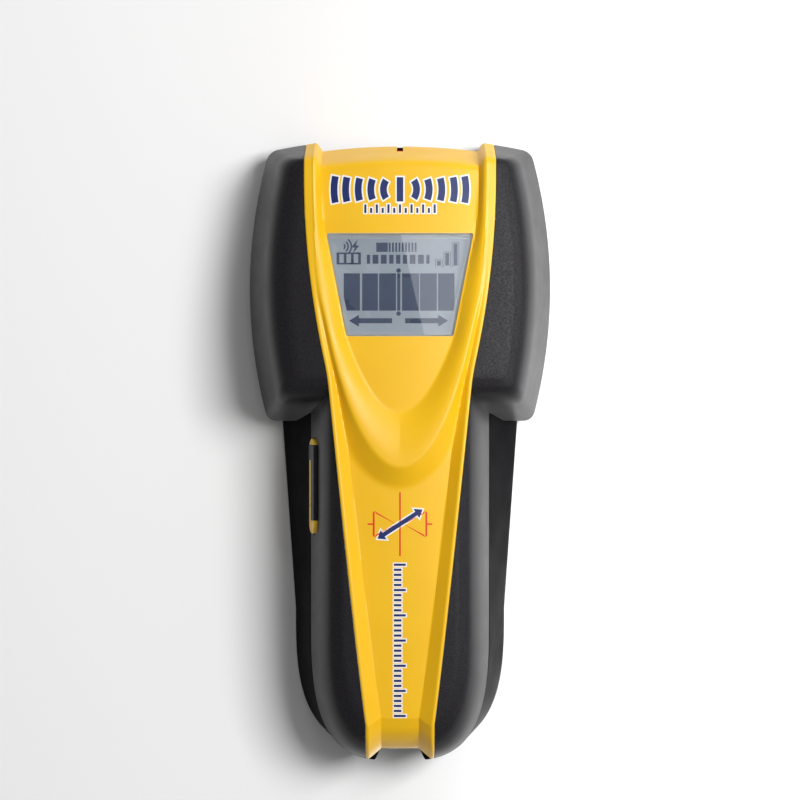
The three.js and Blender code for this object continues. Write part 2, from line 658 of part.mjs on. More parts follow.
const makeSwitchPlunger = () => rodX(SWITCH.y, SWITCH.z, 1.2, -17.9, -14.2);

function makePowerButton() {
  const leaning = (z) => -25.5 + (z - BUTTON.low) * 0.26;
  const cap = buttonBar(0, leaning, -19.7);
  const flange = buttonBar(0.7, () => -19.9, -19);
  const stem = box(-19.2, -18.2, SWITCH.y - 1.5, SWITCH.y + 1.5, SWITCH.z - 1.5, SWITCH.z + 1.1);
  return cap.add(flange).add(stem);
}

// ---------------------------------------------------------------- battery side

function makeBattery() {
  const { halfWidth, height, low, length, floor } = BATTERY;
  const corner = 2;
  const shape = new THREE.Shape();
  shape.moveTo(-halfWidth + corner, 0);
  shape.lineTo(halfWidth - corner, 0);
  shape.absarc(halfWidth - corner, corner, corner, -Math.PI / 2, 0);
  shape.lineTo(halfWidth, height - corner);
  shape.absarc(halfWidth - corner, height - corner, corner, 0, Math.PI / 2);
  shape.lineTo(-halfWidth + corner, height);
  shape.absarc(-halfWidth + corner, height - corner, corner, Math.PI / 2, Math.PI);
  shape.lineTo(-halfWidth, corner);
  shape.absarc(-halfWidth + corner, corner, corner, Math.PI, Math.PI * 1.5);
  const geometry = new THREE.ExtrudeGeometry(shape, { depth: length, bevelEnabled: false, curveSegments: 4 });
  return solid(geometry.rotateX(Math.PI / 2).translate(0, low + length, floor));
}

const TERMINAL = { x: 6.35, z: BATTERY.floor + BATTERY.height / 2, y: BATTERY.low + BATTERY.length + GAP };

const makeTerminal = (x, radius, sides) => rodY(x, TERMINAL.z, radius, TERMINAL.y, TERMINAL.y + 2.6, sides);

function makeSnapConnector() {
  const y = TERMINAL.y + 2.6 + GAP;
  return box(-12.4, 12.4, y, y + 2.4, TERMINAL.z - 6.2, TERMINAL.z + 6.2);
}

const LEAD = { radius: 0.65, startY: TERMINAL.y + 5.6, x: 2.4, boardY: -9.4 };

// Insulated lead from the snap connector, through the bay wall, up to the underside of the board.
function makeLead(side) {
  const x = side * LEAD.x;
  const route = [
    [x, LEAD.startY, TERMINAL.z], [x, -14.8, TERMINAL.z + 0.1], [x, -12.4, TERMINAL.z + 0.5],
    [x, -10.2, TERMINAL.z + 2.4], [x, LEAD.boardY, TERMINAL.z + 5], [x, LEAD.boardY, MAIN_BOARD.bottom - GAP],
  ];
  const path = new THREE.CatmullRomCurve3(route.map((point) => new THREE.Vector3(...point)));
  const section = new THREE.Shape().absarc(0, 0, LEAD.radius, 0, Math.PI * 2);
  const options = { steps: 14, curveSegments: 4, bevelEnabled: false, extrudePath: path };
  return solid(new THREE.ExtrudeGeometry(section, options));
}

function makeBatteryDoor() {
  const top = DOOR.bottom + DOOR.thickness;
  const { y, z, radius, barrel } = DOOR_HINGE;
  const panel = box(-DOOR.halfWidth, DOOR.halfWidth, DOOR.tail, y, DOOR.bottom, top);
  const latchSlot = box(-LATCH.halfWidth - GAP, LATCH.halfWidth + GAP, DOOR.tail - 1, LATCH.root, -1, 4);
  const roundEdge = rodX(y, z, barrel, -DOOR.halfWidth, DOOR.halfWidth, 24);
  const pins = rodX(y, z, radius, -BAY.halfWidth - 0.6, BAY.halfWidth + 0.6, 24);
  const ribs = [-9, 9].map((x) => box(x - 0.5, x + 0.5, -62, -22, top - 0.2, top + 0.7));
  return panel.subtract(latchSlot).add(unite([roundEdge, pins, ...ribs]));
}

function makeLatch() {
  const root = LATCH.root - GAP;
  const tab = box(-LATCH.halfWidth, LATCH.halfWidth, LATCH.tail, root, DOOR.bottom + 0.1, 1.7);
  const hook = box(-LATCH.halfWidth + 1, LATCH.halfWidth - 1, LATCH.tail, LATCH.tail + 0.7, 1.2, 3);
  const grips = [1.6, 2.9, 4.2].map((step) => (
    box(-3.6, 3.6, LATCH.tail + step - 0.35, LATCH.tail + step + 0.35, 0.1, 1)
  ));
  return tab.add(unite([hook, ...grips]));
}

function makeCaseScrew([x, y, reach]) {
  const head = postZ(x, y, 2.7, 1, 3).subtract(box(x - 1.9, x + 1.9, y - 0.35, y + 0.35, 0, 1.7))
    .subtract(box(x - 0.35, x + 0.35, y - 1.9, y + 1.9, 0, 1.7));
  return head.add(postZ(x, y, 1.3, 2.8, reach, 8));
}

function makeBoardScrew([x, y]) {
  const head = postZ(x, y, 2.3, 18.3, MAIN_BOARD.bottom - GAP);
  return head.add(postZ(x, y, 1.1, 19.4, 25.4, 8));
}

// ---------------------------------------------------------------- materials

const plastic = (color, roughness) => new THREE.MeshStandardMaterial({ color, roughness, metalness: 0 });
const metal = (color, roughness) => new THREE.MeshStandardMaterial({ color, roughness, metalness: 1 });

const CHARCOAL = plastic(0x38373a, 0.65);
const BLACK = plastic(0x141416, 0.45);
const YELLOW = plastic(0xf2bf1c, 0.35);
const WINDOW_CLEAR = plastic(0xa8b0b4, 0.05);
const LCD_GREY = plastic(0x9aa3a6, 0.2);
const BOARD_GREEN = plastic(0x1f5a36, 0.4);
const CHIP_BLACK = plastic(0x17181a, 0.5);
const RUBBER_GREY = plastic(0x2a2a2c, 0.85);
const FOAM = plastic(0x303236, 0.95);
const LIGHT_RED = plastic(0xd5202a, 0.1);
const LEAD_RED = plastic(0xb3141c, 0.45);
const LEAD_BLACK = plastic(0x101012, 0.45);
const LABEL_SILVER = plastic(0xb9bcc0, 0.4);
const BATTERY_GREY = plastic(0x50555c, 0.35);
const STEEL = metal(0xb4b6ba, 0.35);
const COPPER = metal(0xc07a46, 0.35);

// ---------------------------------------------------------------- assembly

const studFinder = new THREE.Group();
studFinder.name = 'stud_finder';

function place(name, shape, material, parent = studFinder) {
  const mesh = new THREE.Mesh(geometryOf(shape), material);
  mesh.name = name;
  parent.add(mesh);
  return mesh;
}

place('base_housing', makeBaseHousing(), BLACK);
place('upper_housing', makeUpperHousing(), CHARCOAL);
place('front_cover', makeFrontCover(), YELLOW);

const display = new THREE.Group();
display.position.set(0, DISPLAY_CENTRE.y, DISPLAY_CENTRE.z);
display.rotation.x = DISPLAY_TILT;
studFinder.add(display);
place('display_window', makeWindow(), WINDOW_CLEAR, display);
place('display_gasket', makeGasket(), RUBBER_GREY, display);
place('lcd_panel', makeLcdPanel(), LCD_GREY, display);
place('lcd_carrier', makeLcdCarrier(), BLACK, display);
place('zebra_strip_head', box(-18, 18, 58.6, 60.8, MAIN_BOARD.top + GAP, 23.2), RUBBER_GREY);
place('zebra_strip_low', box(-18, 18, 32.4, 34.6, MAIN_BOARD.top + GAP, 25.4), RUBBER_GREY);

place('main_circuit_board', makeMainBoard(), BOARD_GREEN);
place('controller_chip', box(-7, 7, 40, 54, MAIN_BOARD.top + GAP, 23.5), CHIP_BLACK);
place('timing_crystal', box(10, 20, 46, 50, MAIN_BOARD.top + GAP, 23.5), STEEL);
place('supply_capacitor', postZ(8.5, 17, 2.5, MAIN_BOARD.top + GAP, 27), CHIP_BLACK);
place('piezo_buzzer', makeBuzzer(), CHIP_BLACK);
place('board_header', box(-8, 8, 26, 28.4, SENSOR_BOARD.top + GAP, MAIN_BOARD.bottom - GAP), CHIP_BLACK);
place('sensor_board', makeSensorBoard(), BOARD_GREEN);
place('sensor_plate_left', makeSensorPlate(-17.5), COPPER);
place('sensor_plate_centre', makeSensorPlate(0), COPPER);
place('sensor_plate_right', makeSensorPlate(17.5), COPPER);
place('pointer_led', makeLed(), LIGHT_RED);
place('pointer_lens', makeLens(), LIGHT_RED);

place('power_button', makePowerButton(), YELLOW);
place('switch_body', makeSwitchBody(), CHIP_BLACK);
place('switch_plunger', makeSwitchPlunger(), STEEL);

place('battery', makeBattery(), BATTERY_GREY);
place('battery_terminal_positive', makeTerminal(-TERMINAL.x, 2.8, 16), STEEL);
place('battery_terminal_negative', makeTerminal(TERMINAL.x, 4, 6), STEEL);
place('battery_snap_connector', makeSnapConnector(), CHIP_BLACK);
place('battery_lead_red', makeLead(-1), LEAD_RED);
place('battery_lead_black', makeLead(1), LEAD_BLACK);
place('battery_foam_pad', box(-11, 11, -62, -34, 21.2, 23.1), FOAM);
place('battery_door', makeBatteryDoor(), BLACK);
place('battery_door_latch', makeLatch(), BLACK);

const SCREW_NAMES = ['head_left', 'head_right', 'middle_left', 'middle_right', 'tail_left', 'tail_right'];
CASE_SCREWS.forEach((spot, i) => place(`case_screw_${SCREW_NAMES[i]}`, makeCaseScrew(spot), STEEL));
BOARD_SCREWS.forEach((spot, i) => place(`board_screw_${SCREW_NAMES[i]}`, makeBoardScrew(spot), STEEL));
place('rating_label', box(-15.4, 15.4, 40.6, 61.4, 0.1, 0.3), LABEL_SILVER);

export default studFinder;
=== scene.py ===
import math

import bmesh
import bpy
import numpy as np
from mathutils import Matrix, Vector


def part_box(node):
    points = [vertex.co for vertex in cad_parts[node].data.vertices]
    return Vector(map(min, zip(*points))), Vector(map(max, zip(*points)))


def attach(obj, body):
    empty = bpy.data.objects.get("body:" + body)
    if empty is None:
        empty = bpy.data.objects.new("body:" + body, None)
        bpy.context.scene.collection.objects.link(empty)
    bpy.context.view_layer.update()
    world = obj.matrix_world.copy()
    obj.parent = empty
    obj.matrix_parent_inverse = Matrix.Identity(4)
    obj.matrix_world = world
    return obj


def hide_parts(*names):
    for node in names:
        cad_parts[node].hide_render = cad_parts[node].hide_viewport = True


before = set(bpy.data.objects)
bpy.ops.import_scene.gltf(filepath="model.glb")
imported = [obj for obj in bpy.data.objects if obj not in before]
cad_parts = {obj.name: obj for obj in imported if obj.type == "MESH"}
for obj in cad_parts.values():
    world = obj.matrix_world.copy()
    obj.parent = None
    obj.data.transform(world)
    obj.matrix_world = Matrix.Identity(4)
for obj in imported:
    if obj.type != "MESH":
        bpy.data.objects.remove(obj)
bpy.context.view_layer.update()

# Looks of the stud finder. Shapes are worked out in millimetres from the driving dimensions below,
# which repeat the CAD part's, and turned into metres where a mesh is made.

MM = 0.001

# ------ driving dimensions (mm)

GAP = 0.3
COVER_GAP = 0.14  # fine line between the yellow cover and the charcoal housing
WALL = 2.2
BASE_WALL = 2.0

HEAD_HALF_WIDTH = 42.6
HEAD_WIDEST_AT = 46.0
HEAD_SIDE_BOW = 0.0036
HEAD_END_CROWN = 88.9
HEAD_END_RADIUS = 170.0
HEAD_LOW_END = 8.5
HEAD_PARTING = 8.0
HEAD_CORNER = 2.7

GRIP_HALF_WIDTH = 25.0
TAIL_CENTRE = -45.0
TAIL_LENGTH = 41.6
TAIL_POWER = 3.2
GRIP_PARTING = 18.0

BASE_BOTTOM_HALF_WIDTH = 30.1
BASE_BOTTOM_TAPER = 0.0745
BASE_TOP_HALF_WIDTH = 25.2
BASE_BOTTOM_TAIL = 40.0
BASE_TOP_TAIL = 41.8
BASE_TAIL_POWER = 3.1
BASE_TAIL_RECESS = (0.4, 3.6)  # of the middle of the tail, at the floor and at the parting line

TOP_HEIGHT = 36.5
TOP_CROWN_AT = -12.0
TOP_HEAD_FALL = 0.000709
TOP_TAIL_FALL = 0.00095
TOP_CROWN = 4.2 / 42.0**2

COVER_REACH = 80.0  # to each end of the cover's top face, before its walls take it further
COVER_KINK = 21.5
COVER_GRIP_WIDTH = 20.03
COVER_GRIP_TAPER = 0.1035
COVER_HEAD_WIDTH = 26.6
COVER_HEAD_FULL_AT = 78.0
COVER_HEAD_BOW = 0.00206
COVER_THICKNESS = 2.2
COVER_SEAT_DEPTH = 2.7  # of the seat in the housing, below the crowned top
PANEL_DEPTH = 2.4
TRAY_DEPTH = 2.5
RAIL_CREST = 0.8
RAIL_RISE = 0.1
YOKE_RISE = 0.35
CHANNEL_INNER = 5.0
CHANNEL_OUTER = 7.3
TAIL_DEPTH_GAIN = 1.35

WINDOW_LOW = 32.0
WINDOW_HEAD = 60.7
WINDOW_LOW_HALF_WIDTH = 14.8
WINDOW_HEAD_HALF_WIDTH = 20.4
WINDOW_RECESS = 0.7
LIGHT_SLOT_HALF_WIDTH = 0.85

BUTTON_TAIL, BUTTON_HEAD, BUTTON_LOW, BUTTON_HIGH = -22.9, 3.7, 19.6, 25.4
BUTTON_FACE_X = -25.5
BUTTON_LEAN = 0.26

BAY_HALF_WIDTH, BAY_TAIL, BAY_HEAD, BAY_ROOF = 16.7, -75.3, -14.0, 24.9
BAY_WALL = 1.5
BAY_TAIL_WALL = 1.1
BASE_GRIP_FRONT = 12.0
BOSS_RADIUS, SCREW_HEAD_ROOM, SCREW_PILOT = 4.1, 3.1, 1.7
POST_X, POST_RADIUS, SENSOR_BOARD_BOTTOM = 26.6, 1.8, 3.0

DOOR_HALF_WIDTH, DOOR_TAIL, DOOR_BOTTOM, DOOR_TOP = 14.7, -73.9, 0.3, 2.0
HINGE_Y, HINGE_Z, HINGE_BARREL, HINGE_PIN, HINGE_ROOM = -17.5, 2.0, 1.7, 1.0, 1.3
LATCH_HALF_WIDTH, LATCH_TAIL, LATCH_ROOT = 5.0, -73.6, -65.8

CASE_SCREWS = {
    "head_left": (-34, 72), "head_right": (34, 72), "middle_left": (-31, 17),
    "middle_right": (31, 17), "tail_left": (-20, -66), "tail_right": (20, -66),
}
SCREW_REACH = {"head": 15, "middle": 17, "tail": 21}

# Lean of each wall in mm at a share of its height, from parting line to top.
HEAD_SIDE_LEAN = [(0, 0), (0.3, 2.0), (0.55, 3.7), (0.75, 5.1), (0.88, 6.6), (0.96, 8.5), (1, 11.2)]
HEAD_LOW_LEAN = [(0, 0), (0.3, 2.1), (0.55, 3.8), (0.75, 5.4), (0.88, 7.2), (0.96, 9.2), (1, 12)]
HEAD_END_LEAN = [(0, 0), (0.5, 2.6), (0.88, 4.7), (0.96, 5.4), (0.99, 6.1), (1, 7)]
GRIP_SIDE_LEAN = [(0, 0), (0.35, 1.6), (0.6, 3), (0.8, 4.6), (0.92, 6.2), (1, 8.8)]
GRIP_TAIL_LEAN = [(0, 0), (0.35, 0.9), (0.6, 2.2), (0.8, 4.2), (0.92, 6.2), (1, 9.5)]

# Right halves of two curves of the cover's relief: the foot of the display tray and the crest of the
# yoke that wraps round it.
TRAY_FOOT = [
    (0, 11.2), (5, 13.6), (10, 20.8), (14.8, 32.2), (17.2, 44), (19.2, 54), (20.9, 62), (21.6, 70),
    (21.9, 80), (21.9, 95),
]
YOKE_CREST = [
    (0, -4), (2.5, -3.4), (5, -1.7), (7.5, 1), (10, 4.9), (12.2, 9.2), (14.2, 14), (16.5, 21),
    (18.4, 28), (20.4, 36.5), (22.1, 44), (23.1, 54), (23.6, 66), (23.9, 80), (23.9, 95),
]

# ------ shape functions


def mix(a, b, t):
    return a + (b - a) * t


def smooth(a, b, v):
    t = np.clip((v - a) / (b - a), 0, 1)
    return t * t * (3 - 2 * t)


def monotone(stops, at):
    """A smooth curve through stops that never overshoots between them."""
    p = np.array(stops, float)
    x, y = p[:, 0], p[:, 1]
    step = np.diff(x)
    slope = np.diff(y) / step
    tangent = np.empty(len(x))
    tangent[0], tangent[-1] = slope[0], slope[-1]
    same_sign = slope[:-1] * slope[1:] > 0
    total = np.where(same_sign, slope[:-1] + slope[1:], 1)
    tangent[1:-1] = np.where(same_sign, 2 * slope[:-1] * slope[1:] / total, 0)
    at = np.clip(np.asarray(at, float), x[0], x[-1])
    i = np.clip(np.searchsorted(x, at, side="right") - 1, 0, len(x) - 2)
    t = (at - x[i]) / step[i]
    h00 = (1 + 2 * t) * (1 - t) ** 2
    h10 = t * (1 - t) ** 2
    h01 = t * t * (3 - 2 * t)
    h11 = t * t * (t - 1)
    return h00 * y[i] + h10 * step[i] * tangent[i] + h01 * y[i + 1] + h11 * step[i] * tangent[i + 1]


def rounded_curve(points, per_span=8):
    """Catmull-Rom points through the right half of a curve that is mirrored about x = 0."""
    p = np.array(points, float)
    p = np.vstack([p[1] * [-1, 1], p, 2 * p[-1] - p[-2]])
    t = np.linspace(0, 1, per_span, endpoint=False)[:, None]
    spans = []
    for a, b, c, d in zip(p, p[1:], p[2:], p[3:]):
        spans.append(0.5 * (2 * b + (c - a) * t + (2 * a - 5 * b + 4 * c - d) * t**2
                            + (3 * b - a - 3 * c + d) * t**3))
    return np.vstack([*spans, p[-2]])


TRAY_CURVE = rounded_curve(TRAY_FOOT)
CREST_CURVE = rounded_curve(YOKE_CREST)


def distance_to(curve, x, y):
    best = np.full(np.shape(x), np.inf)
    for (x0, y0), (x1, y1) in zip(curve, curve[1:]):
        dx, dy = x1 - x0, y1 - y0
        t = np.clip(((x - x0) * dx + (y - y0) * dy) / (dx * dx + dy * dy), 0, 1)
        best = np.minimum(best, np.hypot(x - x0 - t * dx, y - y0 - t * dy))
    return best


def is_inside(curve, x, y):
    """Whether a place is on the head side of one of the relief's curves."""
    return (y > curve[0][1]) & (x < np.interp(y, curve[:, 1], curve[:, 0]))


def top_height(x, y):
    fall = np.where(y > TOP_CROWN_AT, TOP_HEAD_FALL, TOP_TAIL_FALL)
    return TOP_HEIGHT - fall * (y - TOP_CROWN_AT) ** 2 - TOP_CROWN * x * x


def head_side(y):
    return HEAD_HALF_WIDTH - HEAD_SIDE_BOW * (y - HEAD_WIDEST_AT) ** 2


def head_end(x):
    return HEAD_END_CROWN - x * x / (2 * HEAD_END_RADIUS)


def cover_width(y):
    grip = COVER_GRIP_WIDTH - COVER_GRIP_TAPER * (COVER_KINK - y)
    bow = COVER_HEAD_WIDTH - COVER_HEAD_BOW * np.maximum(0, COVER_HEAD_FULL_AT - y) ** 2
    return np.where(y < COVER_KINK - 20, grip, soft_max(bow, grip, 0.5))


def panel_width(y):
    """Half width of the sunk panel, where the cover's rail starts to rise."""
    return 15 + (y - 7) * 10 / 89


def soft_max(a, b, reach):
    """The larger of a and b, with the crease between them rounded over reach."""
    h = np.clip(0.5 + 0.5 * (a - b) / reach, 0, 1)
    return mix(b, a, h) + reach * h * (1 - h)


def cover_depth(x_signed, y):
    """Depth of the cover's face below the crowned top; negative stands proud."""
    x = np.abs(x_signed)
    from_tray = distance_to(TRAY_CURVE, x, y)
    from_crest = distance_to(CREST_CURVE, x, y)
    rise = mix(YOKE_RISE, RAIL_RISE, smooth(30, 56, y))
    share = from_tray / np.maximum(from_tray + from_crest, 1e-6)
    share = np.sqrt(share**2 + 0.0025) - 0.05 * (1 - share)
    bowl = mix(TRAY_DEPTH, -rise, np.clip(share * (1.5 - 0.5 * share * share), 0, 1))
    width = cover_width(y)
    crest = width - RAIL_CREST
    panel = panel_width(y)
    rail_share = np.clip((x - panel) / (crest - panel), 0, 1)
    rail = mix(PANEL_DEPTH, -RAIL_RISE, rail_share)
    rail = mix(rail, -RAIL_RISE, smooth(30, 56, y))
    fall_width = mix(5.5, 2.2, smooth(-4, 20, y))
    fall = np.minimum((np.sqrt(from_crest**2 + 0.16) - 0.4) / fall_width, 1.4)
    yoke = mix(-rise, PANEL_DEPTH, fall)
    outside = -soft_max(-rail, -yoke, 0.5)
    outside = np.minimum(outside, PANEL_DEPTH)
    depth = np.where(is_inside(CREST_CURVE, x, y), bowl, outside)
    depth = np.where(is_inside(TRAY_CURVE, x, y), TRAY_DEPTH, depth)
    edge = np.clip(1 - (width - x) / 0.35, 0, 1)
    return depth + 0.12 * edge**2


# ------ mesh helpers


def mesh_object(name, points, faces):
    mesh = bpy.data.meshes.new(name)
    mesh.from_pydata((np.asarray(points) * MM).tolist(), [], faces)
    mesh.update()
    piece = bpy.data.objects.new(name, mesh)
    bpy.context.scene.collection.objects.link(piece)
    return piece


def apply_modifiers(piece):
    graph = bpy.context.evaluated_depsgraph_get()
    mesh = bpy.data.meshes.new_from_object(piece.evaluated_get(graph))
    piece.modifiers.clear()
    old = piece.data
    piece.data = mesh
    bpy.data.meshes.remove(old)
    mesh.name = piece.name


def combine(target, others, operation):
    """Boolean of target with each of others, which are used up."""
    for other in others:
        modifier = target.modifiers.new(operation, "BOOLEAN")
        modifier.solver = "MANIFOLD"
        modifier.operation = operation
        modifier.object = other
    apply_modifiers(target)
    for other in others:
        bpy.data.objects.remove(other)
    return target


def cut(target, *others):
    return combine(target, others, "DIFFERENCE")


def join(target, *others):
    return combine(target, others, "UNION")


def shade(piece, angle=32):
    mesh = piece.data
    mesh.polygons.foreach_set("use_smooth", np.ones(len(mesh.polygons), bool))
    mesh.set_sharp_from_angle(angle=math.radians(angle))
    return piece


def bevel(piece, width, segments=3, angle=35):
    modifier = piece.modifiers.new("bevel", "BEVEL")
    modifier.width = width * MM
    modifier.segments = segments
    modifier.limit_method = "ANGLE"
    modifier.angle_limit = math.radians(angle)
    apply_modifiers(piece)
    return piece


def fix_normals(piece):
    work = bmesh.new()
    work.from_mesh(piece.data)
    bmesh.ops.recalc_face_normals(work, faces=work.faces)
    work.to_mesh(piece.data)
    work.free()
    return piece


def side_quads(low, high, count):
    """Quads between two closed rings of count points, which start at these two indices."""
    return [[low + j, low + (j + 1) % count, high + (j + 1) % count, high + j] for j in range(count)]


def prism_faces(count, first=0):
    """Both caps and the sides of a straight body between two rings of count points."""
    second = first + count
    caps = [list(range(first, second))[::-1], list(range(second, second + count))]
    return caps + side_quads(first, second, count)


def prism(name, outline, z0, z1):
    """Straight block from a 2-D outline that runs counter-clockwise."""
    points = [(x, y, z) for z in (z0, z1) for x, y in outline]
    return mesh_object(name, points, prism_faces(len(outline)))


def prism_along_y(name, outline, y0, y1):
    """Straight block along Y from an outline in x and z."""
    points = [(x, y, z) for y in (y0, y1) for x, z in outline]
    return fix_normals(mesh_object(name, points, prism_faces(len(outline))))


def block(name, x0, x1, y0, y1, z0, z1):
    return prism(name, [(x0, y0), (x1, y0), (x1, y1), (x0, y1)], z0, z1)


def centred_block(name, half_width, y0, y1, z0, z1):
    return block(name, -half_width, half_width, y0, y1, z0, z1)


def circle(x, y, radius, sides=48):
    angles = [2 * math.pi * i / sides for i in range(sides)]
    return [(x + radius * math.cos(a), y + radius * math.sin(a)) for a in angles]


def cylinder_x(name, y, z, radius, half_length, sides=32):
    points = [(x, *place) for x in (-half_length, half_length) for place in circle(y, z, radius, sides)]
    return fix_normals(mesh_object(name, points, prism_faces(sides)))


def closed_rings(name, rings, first_tip, last_tip):
    """Closed body through rings of as many 3-D points each, its ends drawn in to two tips."""
    count = len(rings[0])
    points = np.vstack([*rings, [first_tip], [last_tip]])
    bottom, top = len(points) - 2, len(points) - 1
    start = bottom - count
    faces = []
    for low in range(0, start, count):
        faces += side_quads(low, low + count, count)
    faces += [[(j + 1) % count, j, bottom] for j in range(count)]
    faces += [[start + j, start + (j + 1) % count, top] for j in range(count)]
    return mesh_object(name, points, faces)


def lathe(name, profile, sides):
    """Closed body of revolution about Z from (radius, z) stops that start and end on the axis."""
    rings = [[(x, y, z) for x, y in circle(0, 0, radius, sides)] for radius, z in profile[1:-1]]
    return closed_rings(name, rings, (0, 0, profile[0][1]), (0, 0, profile[-1][1]))


def loft(name, rings, centre_y, cap_height=None):
    """Closed body through rings. With a cap height, more rings shrink over its top to the middle."""
    layers = list(rings)
    last = layers[-1]
    tip = last[0][2]
    if cap_height is not None:
        for scale in np.linspace(1, 0, 15)[1:-1]:
            x = last[:, 0] * scale
            y = centre_y + (last[:, 1] - centre_y) * scale
            layers.append(np.column_stack([x, y, cap_height(x, y)]))
        tip = cap_height(0.0, centre_y)
    return closed_rings(name, layers, (0, centre_y, layers[0][0][2]), (0, centre_y, tip))


def points_of(piece):
    """A piece's points in mm."""
    points = np.empty(len(piece.data.vertices) * 3)
    piece.data.vertices.foreach_get("co", points)
    return points.reshape(-1, 3) / MM


def put_points(piece, points):
    piece.data.vertices.foreach_set("co", (points * MM).ravel())
    piece.data.update()
    return piece


# ------ outlines and mounds


def mirrored(half):
    """A closed outline from its right half, which starts and ends on the middle line."""
    left = half[1:-1][::-1] * [-1, 1]
    return np.vstack([half, left])


def head_ring(side, end, low, corner, end_recess=0.0):
    """Outline of the head, drawn in by side, end and low."""

    def end_at(x):
        return head_end(x) - end - end_recess * (1 - smooth(21.9, 24, np.abs(x)))

    low_y = HEAD_LOW_END + low
    low_x = head_side(low_y) - side
    start_y = low_y + corner
    end_x = head_side(end_at(HEAD_HALF_WIDTH - side)) - side
    stop_y = end_at(end_x) - corner
    end_x = head_side(stop_y + corner) - side

    def bend(first, through, final):
        t = np.linspace(0, 1, 14)[1:-1, None]
        return (1 - t) ** 2 * first + 2 * t * (1 - t) * through + t * t * final

    low_edge = np.array([(share * (low_x - corner), low_y) for share in np.linspace(0, 1, 24)])
    sides = np.array([(head_side(y) - side, y) for y in np.linspace(start_y, stop_y, 90)])
    beside_cover = np.linspace(end_x - corner, 24.3, 14)
    end_x_steps = np.concatenate([beside_cover, np.linspace(24.1, 21.8, 8), np.linspace(20.5, 0, 18)])
    head_edge = np.array([(x, end_at(x)) for x in end_x_steps])
    low_bend = bend(low_edge[-1], np.array([low_x, low_y]), sides[0])
    head_bend = bend(sides[-1], np.array([end_x, end_at(end_x)]), head_edge[0])
    return mirrored(np.vstack([low_edge, low_bend, sides, head_bend, head_edge]))


def tail_ring(half_width_at, tail_length, power, front_end, recess=0.0):
    """A superellipse tail with straight sides to the front end."""
    widest = half_width_at(TAIL_CENTRE)
    channel = np.concatenate([np.linspace(0, CHANNEL_INNER, 6),
                              np.linspace(CHANNEL_INNER, CHANNEL_OUTER, 9)[1:]])
    tail = tail_length * (1 - (channel / widest) ** power) ** (1 / power)
    draw = recess * (1 - smooth(CHANNEL_INNER, CHANNEL_OUTER, channel))
    first = np.column_stack([channel, TAIL_CENTRE - tail + draw])
    angles = np.linspace(math.asin((CHANNEL_OUTER / widest) ** (power / 2)), math.pi / 2, 60)[1:]
    reach = np.maximum(0, np.cos(angles)) ** (2 / power)
    bend = np.column_stack([widest * np.sin(angles) ** (2 / power), TAIL_CENTRE - tail_length * reach])
    sides = np.array([(half_width_at(y), y) for y in np.linspace(TAIL_CENTRE, front_end, 60)[1:]])
    front = np.array([(share * sides[-1][0], front_end) for share in np.linspace(1, 0, 12)[1:]])
    return mirrored(np.vstack([first, bend, sides, front]))


def wall_levels(low_steps, top_steps):
    """Shares of a wall's height, closer together where the wall rounds over into the top."""
    return np.concatenate([np.linspace(0, 0.7, low_steps), np.linspace(0.7, 0.94, 10)[1:],
                           np.linspace(0.94, 1, top_steps)[1:]])


def mound(name, ring_at, shrink, bottom, parting, centre_y):
    rings = []
    if bottom < parting:
        flat = ring_at(0.0)
        rings.append(np.column_stack([flat, np.full(len(flat), bottom)]))
    for level in wall_levels(12, 12):
        ring = ring_at(level)
        top = top_height(ring[:, 0], ring[:, 1]) - shrink
        rings.append(np.column_stack([ring, mix(parting, top, level)]))
    return loft(name, rings, centre_y, lambda x, y: top_height(x, y) - shrink)


def head_mound(name, shrink, bottom):
    def ring_at(level):
        return head_ring(monotone(HEAD_SIDE_LEAN, level) + shrink, monotone(HEAD_END_LEAN, level) + shrink,
                         monotone(HEAD_LOW_LEAN, level) + shrink, mix(HEAD_CORNER, 2.4, level))

    return mound(name, ring_at, shrink, bottom, HEAD_PARTING + GAP, HEAD_WIDEST_AT)


def grip_mound(name, shrink, bottom, front_end):
    def ring_at(level):
        half_width = GRIP_HALF_WIDTH - monotone(GRIP_SIDE_LEAN, level) - shrink
        tail = TAIL_LENGTH - monotone(GRIP_TAIL_LEAN, level) - shrink
        return tail_ring(lambda y: half_width, tail, TAIL_POWER, front_end)

    return mound(name, ring_at, shrink, bottom, GRIP_PARTING + GAP, -25.0)


def floor_rounding(z0, z1, ring_at, radius=1.4):
    """Rings from z0 to z1, with a rounded edge where they start at the floor."""
    if z0 == 0:
        angles = np.linspace(0, math.pi / 2, 7)
        rings = [ring_at(radius * (1 - math.cos(a)), radius * (1 - math.sin(a))) for a in angles]
    else:
        rings = [ring_at(z0, 0)]
    return [*rings, *[ring_at(z, 0) for z in np.linspace(max(z0, radius), z1, 8)[1:]]]


def base_grip_block(name, grow, z0, z1, front_end):
    def ring_at(z, inset):
        rise = z / GRIP_PARTING

        def half_width_at(y):
            bottom = BASE_BOTTOM_HALF_WIDTH + BASE_BOTTOM_TAPER * (y - TAIL_CENTRE)
            return mix(bottom, BASE_TOP_HALF_WIDTH, rise) + grow - inset

        tail = mix(BASE_BOTTOM_TAIL, BASE_TOP_TAIL, rise) + grow - inset
        recess = mix(*BASE_TAIL_RECESS, rise)
        ring = tail_ring(half_width_at, tail, BASE_TAIL_POWER, front_end, recess)
        return np.column_stack([ring, np.full(len(ring), z)])

    return loft(name, floor_rounding(z0, z1, ring_at), -25.0)


def base_head_block(name, shrink, z0, z1):
    def ring_at(z, inset):
        ring = head_ring(shrink + inset, shrink + inset, shrink + inset, HEAD_CORNER, TRAY_DEPTH + 0.1)
        return np.column_stack([ring, np.full(len(ring), z)])

    return loft(name, floor_rounding(z0, z1, ring_at), HEAD_WIDEST_AT)


# ------ the cover's sheet


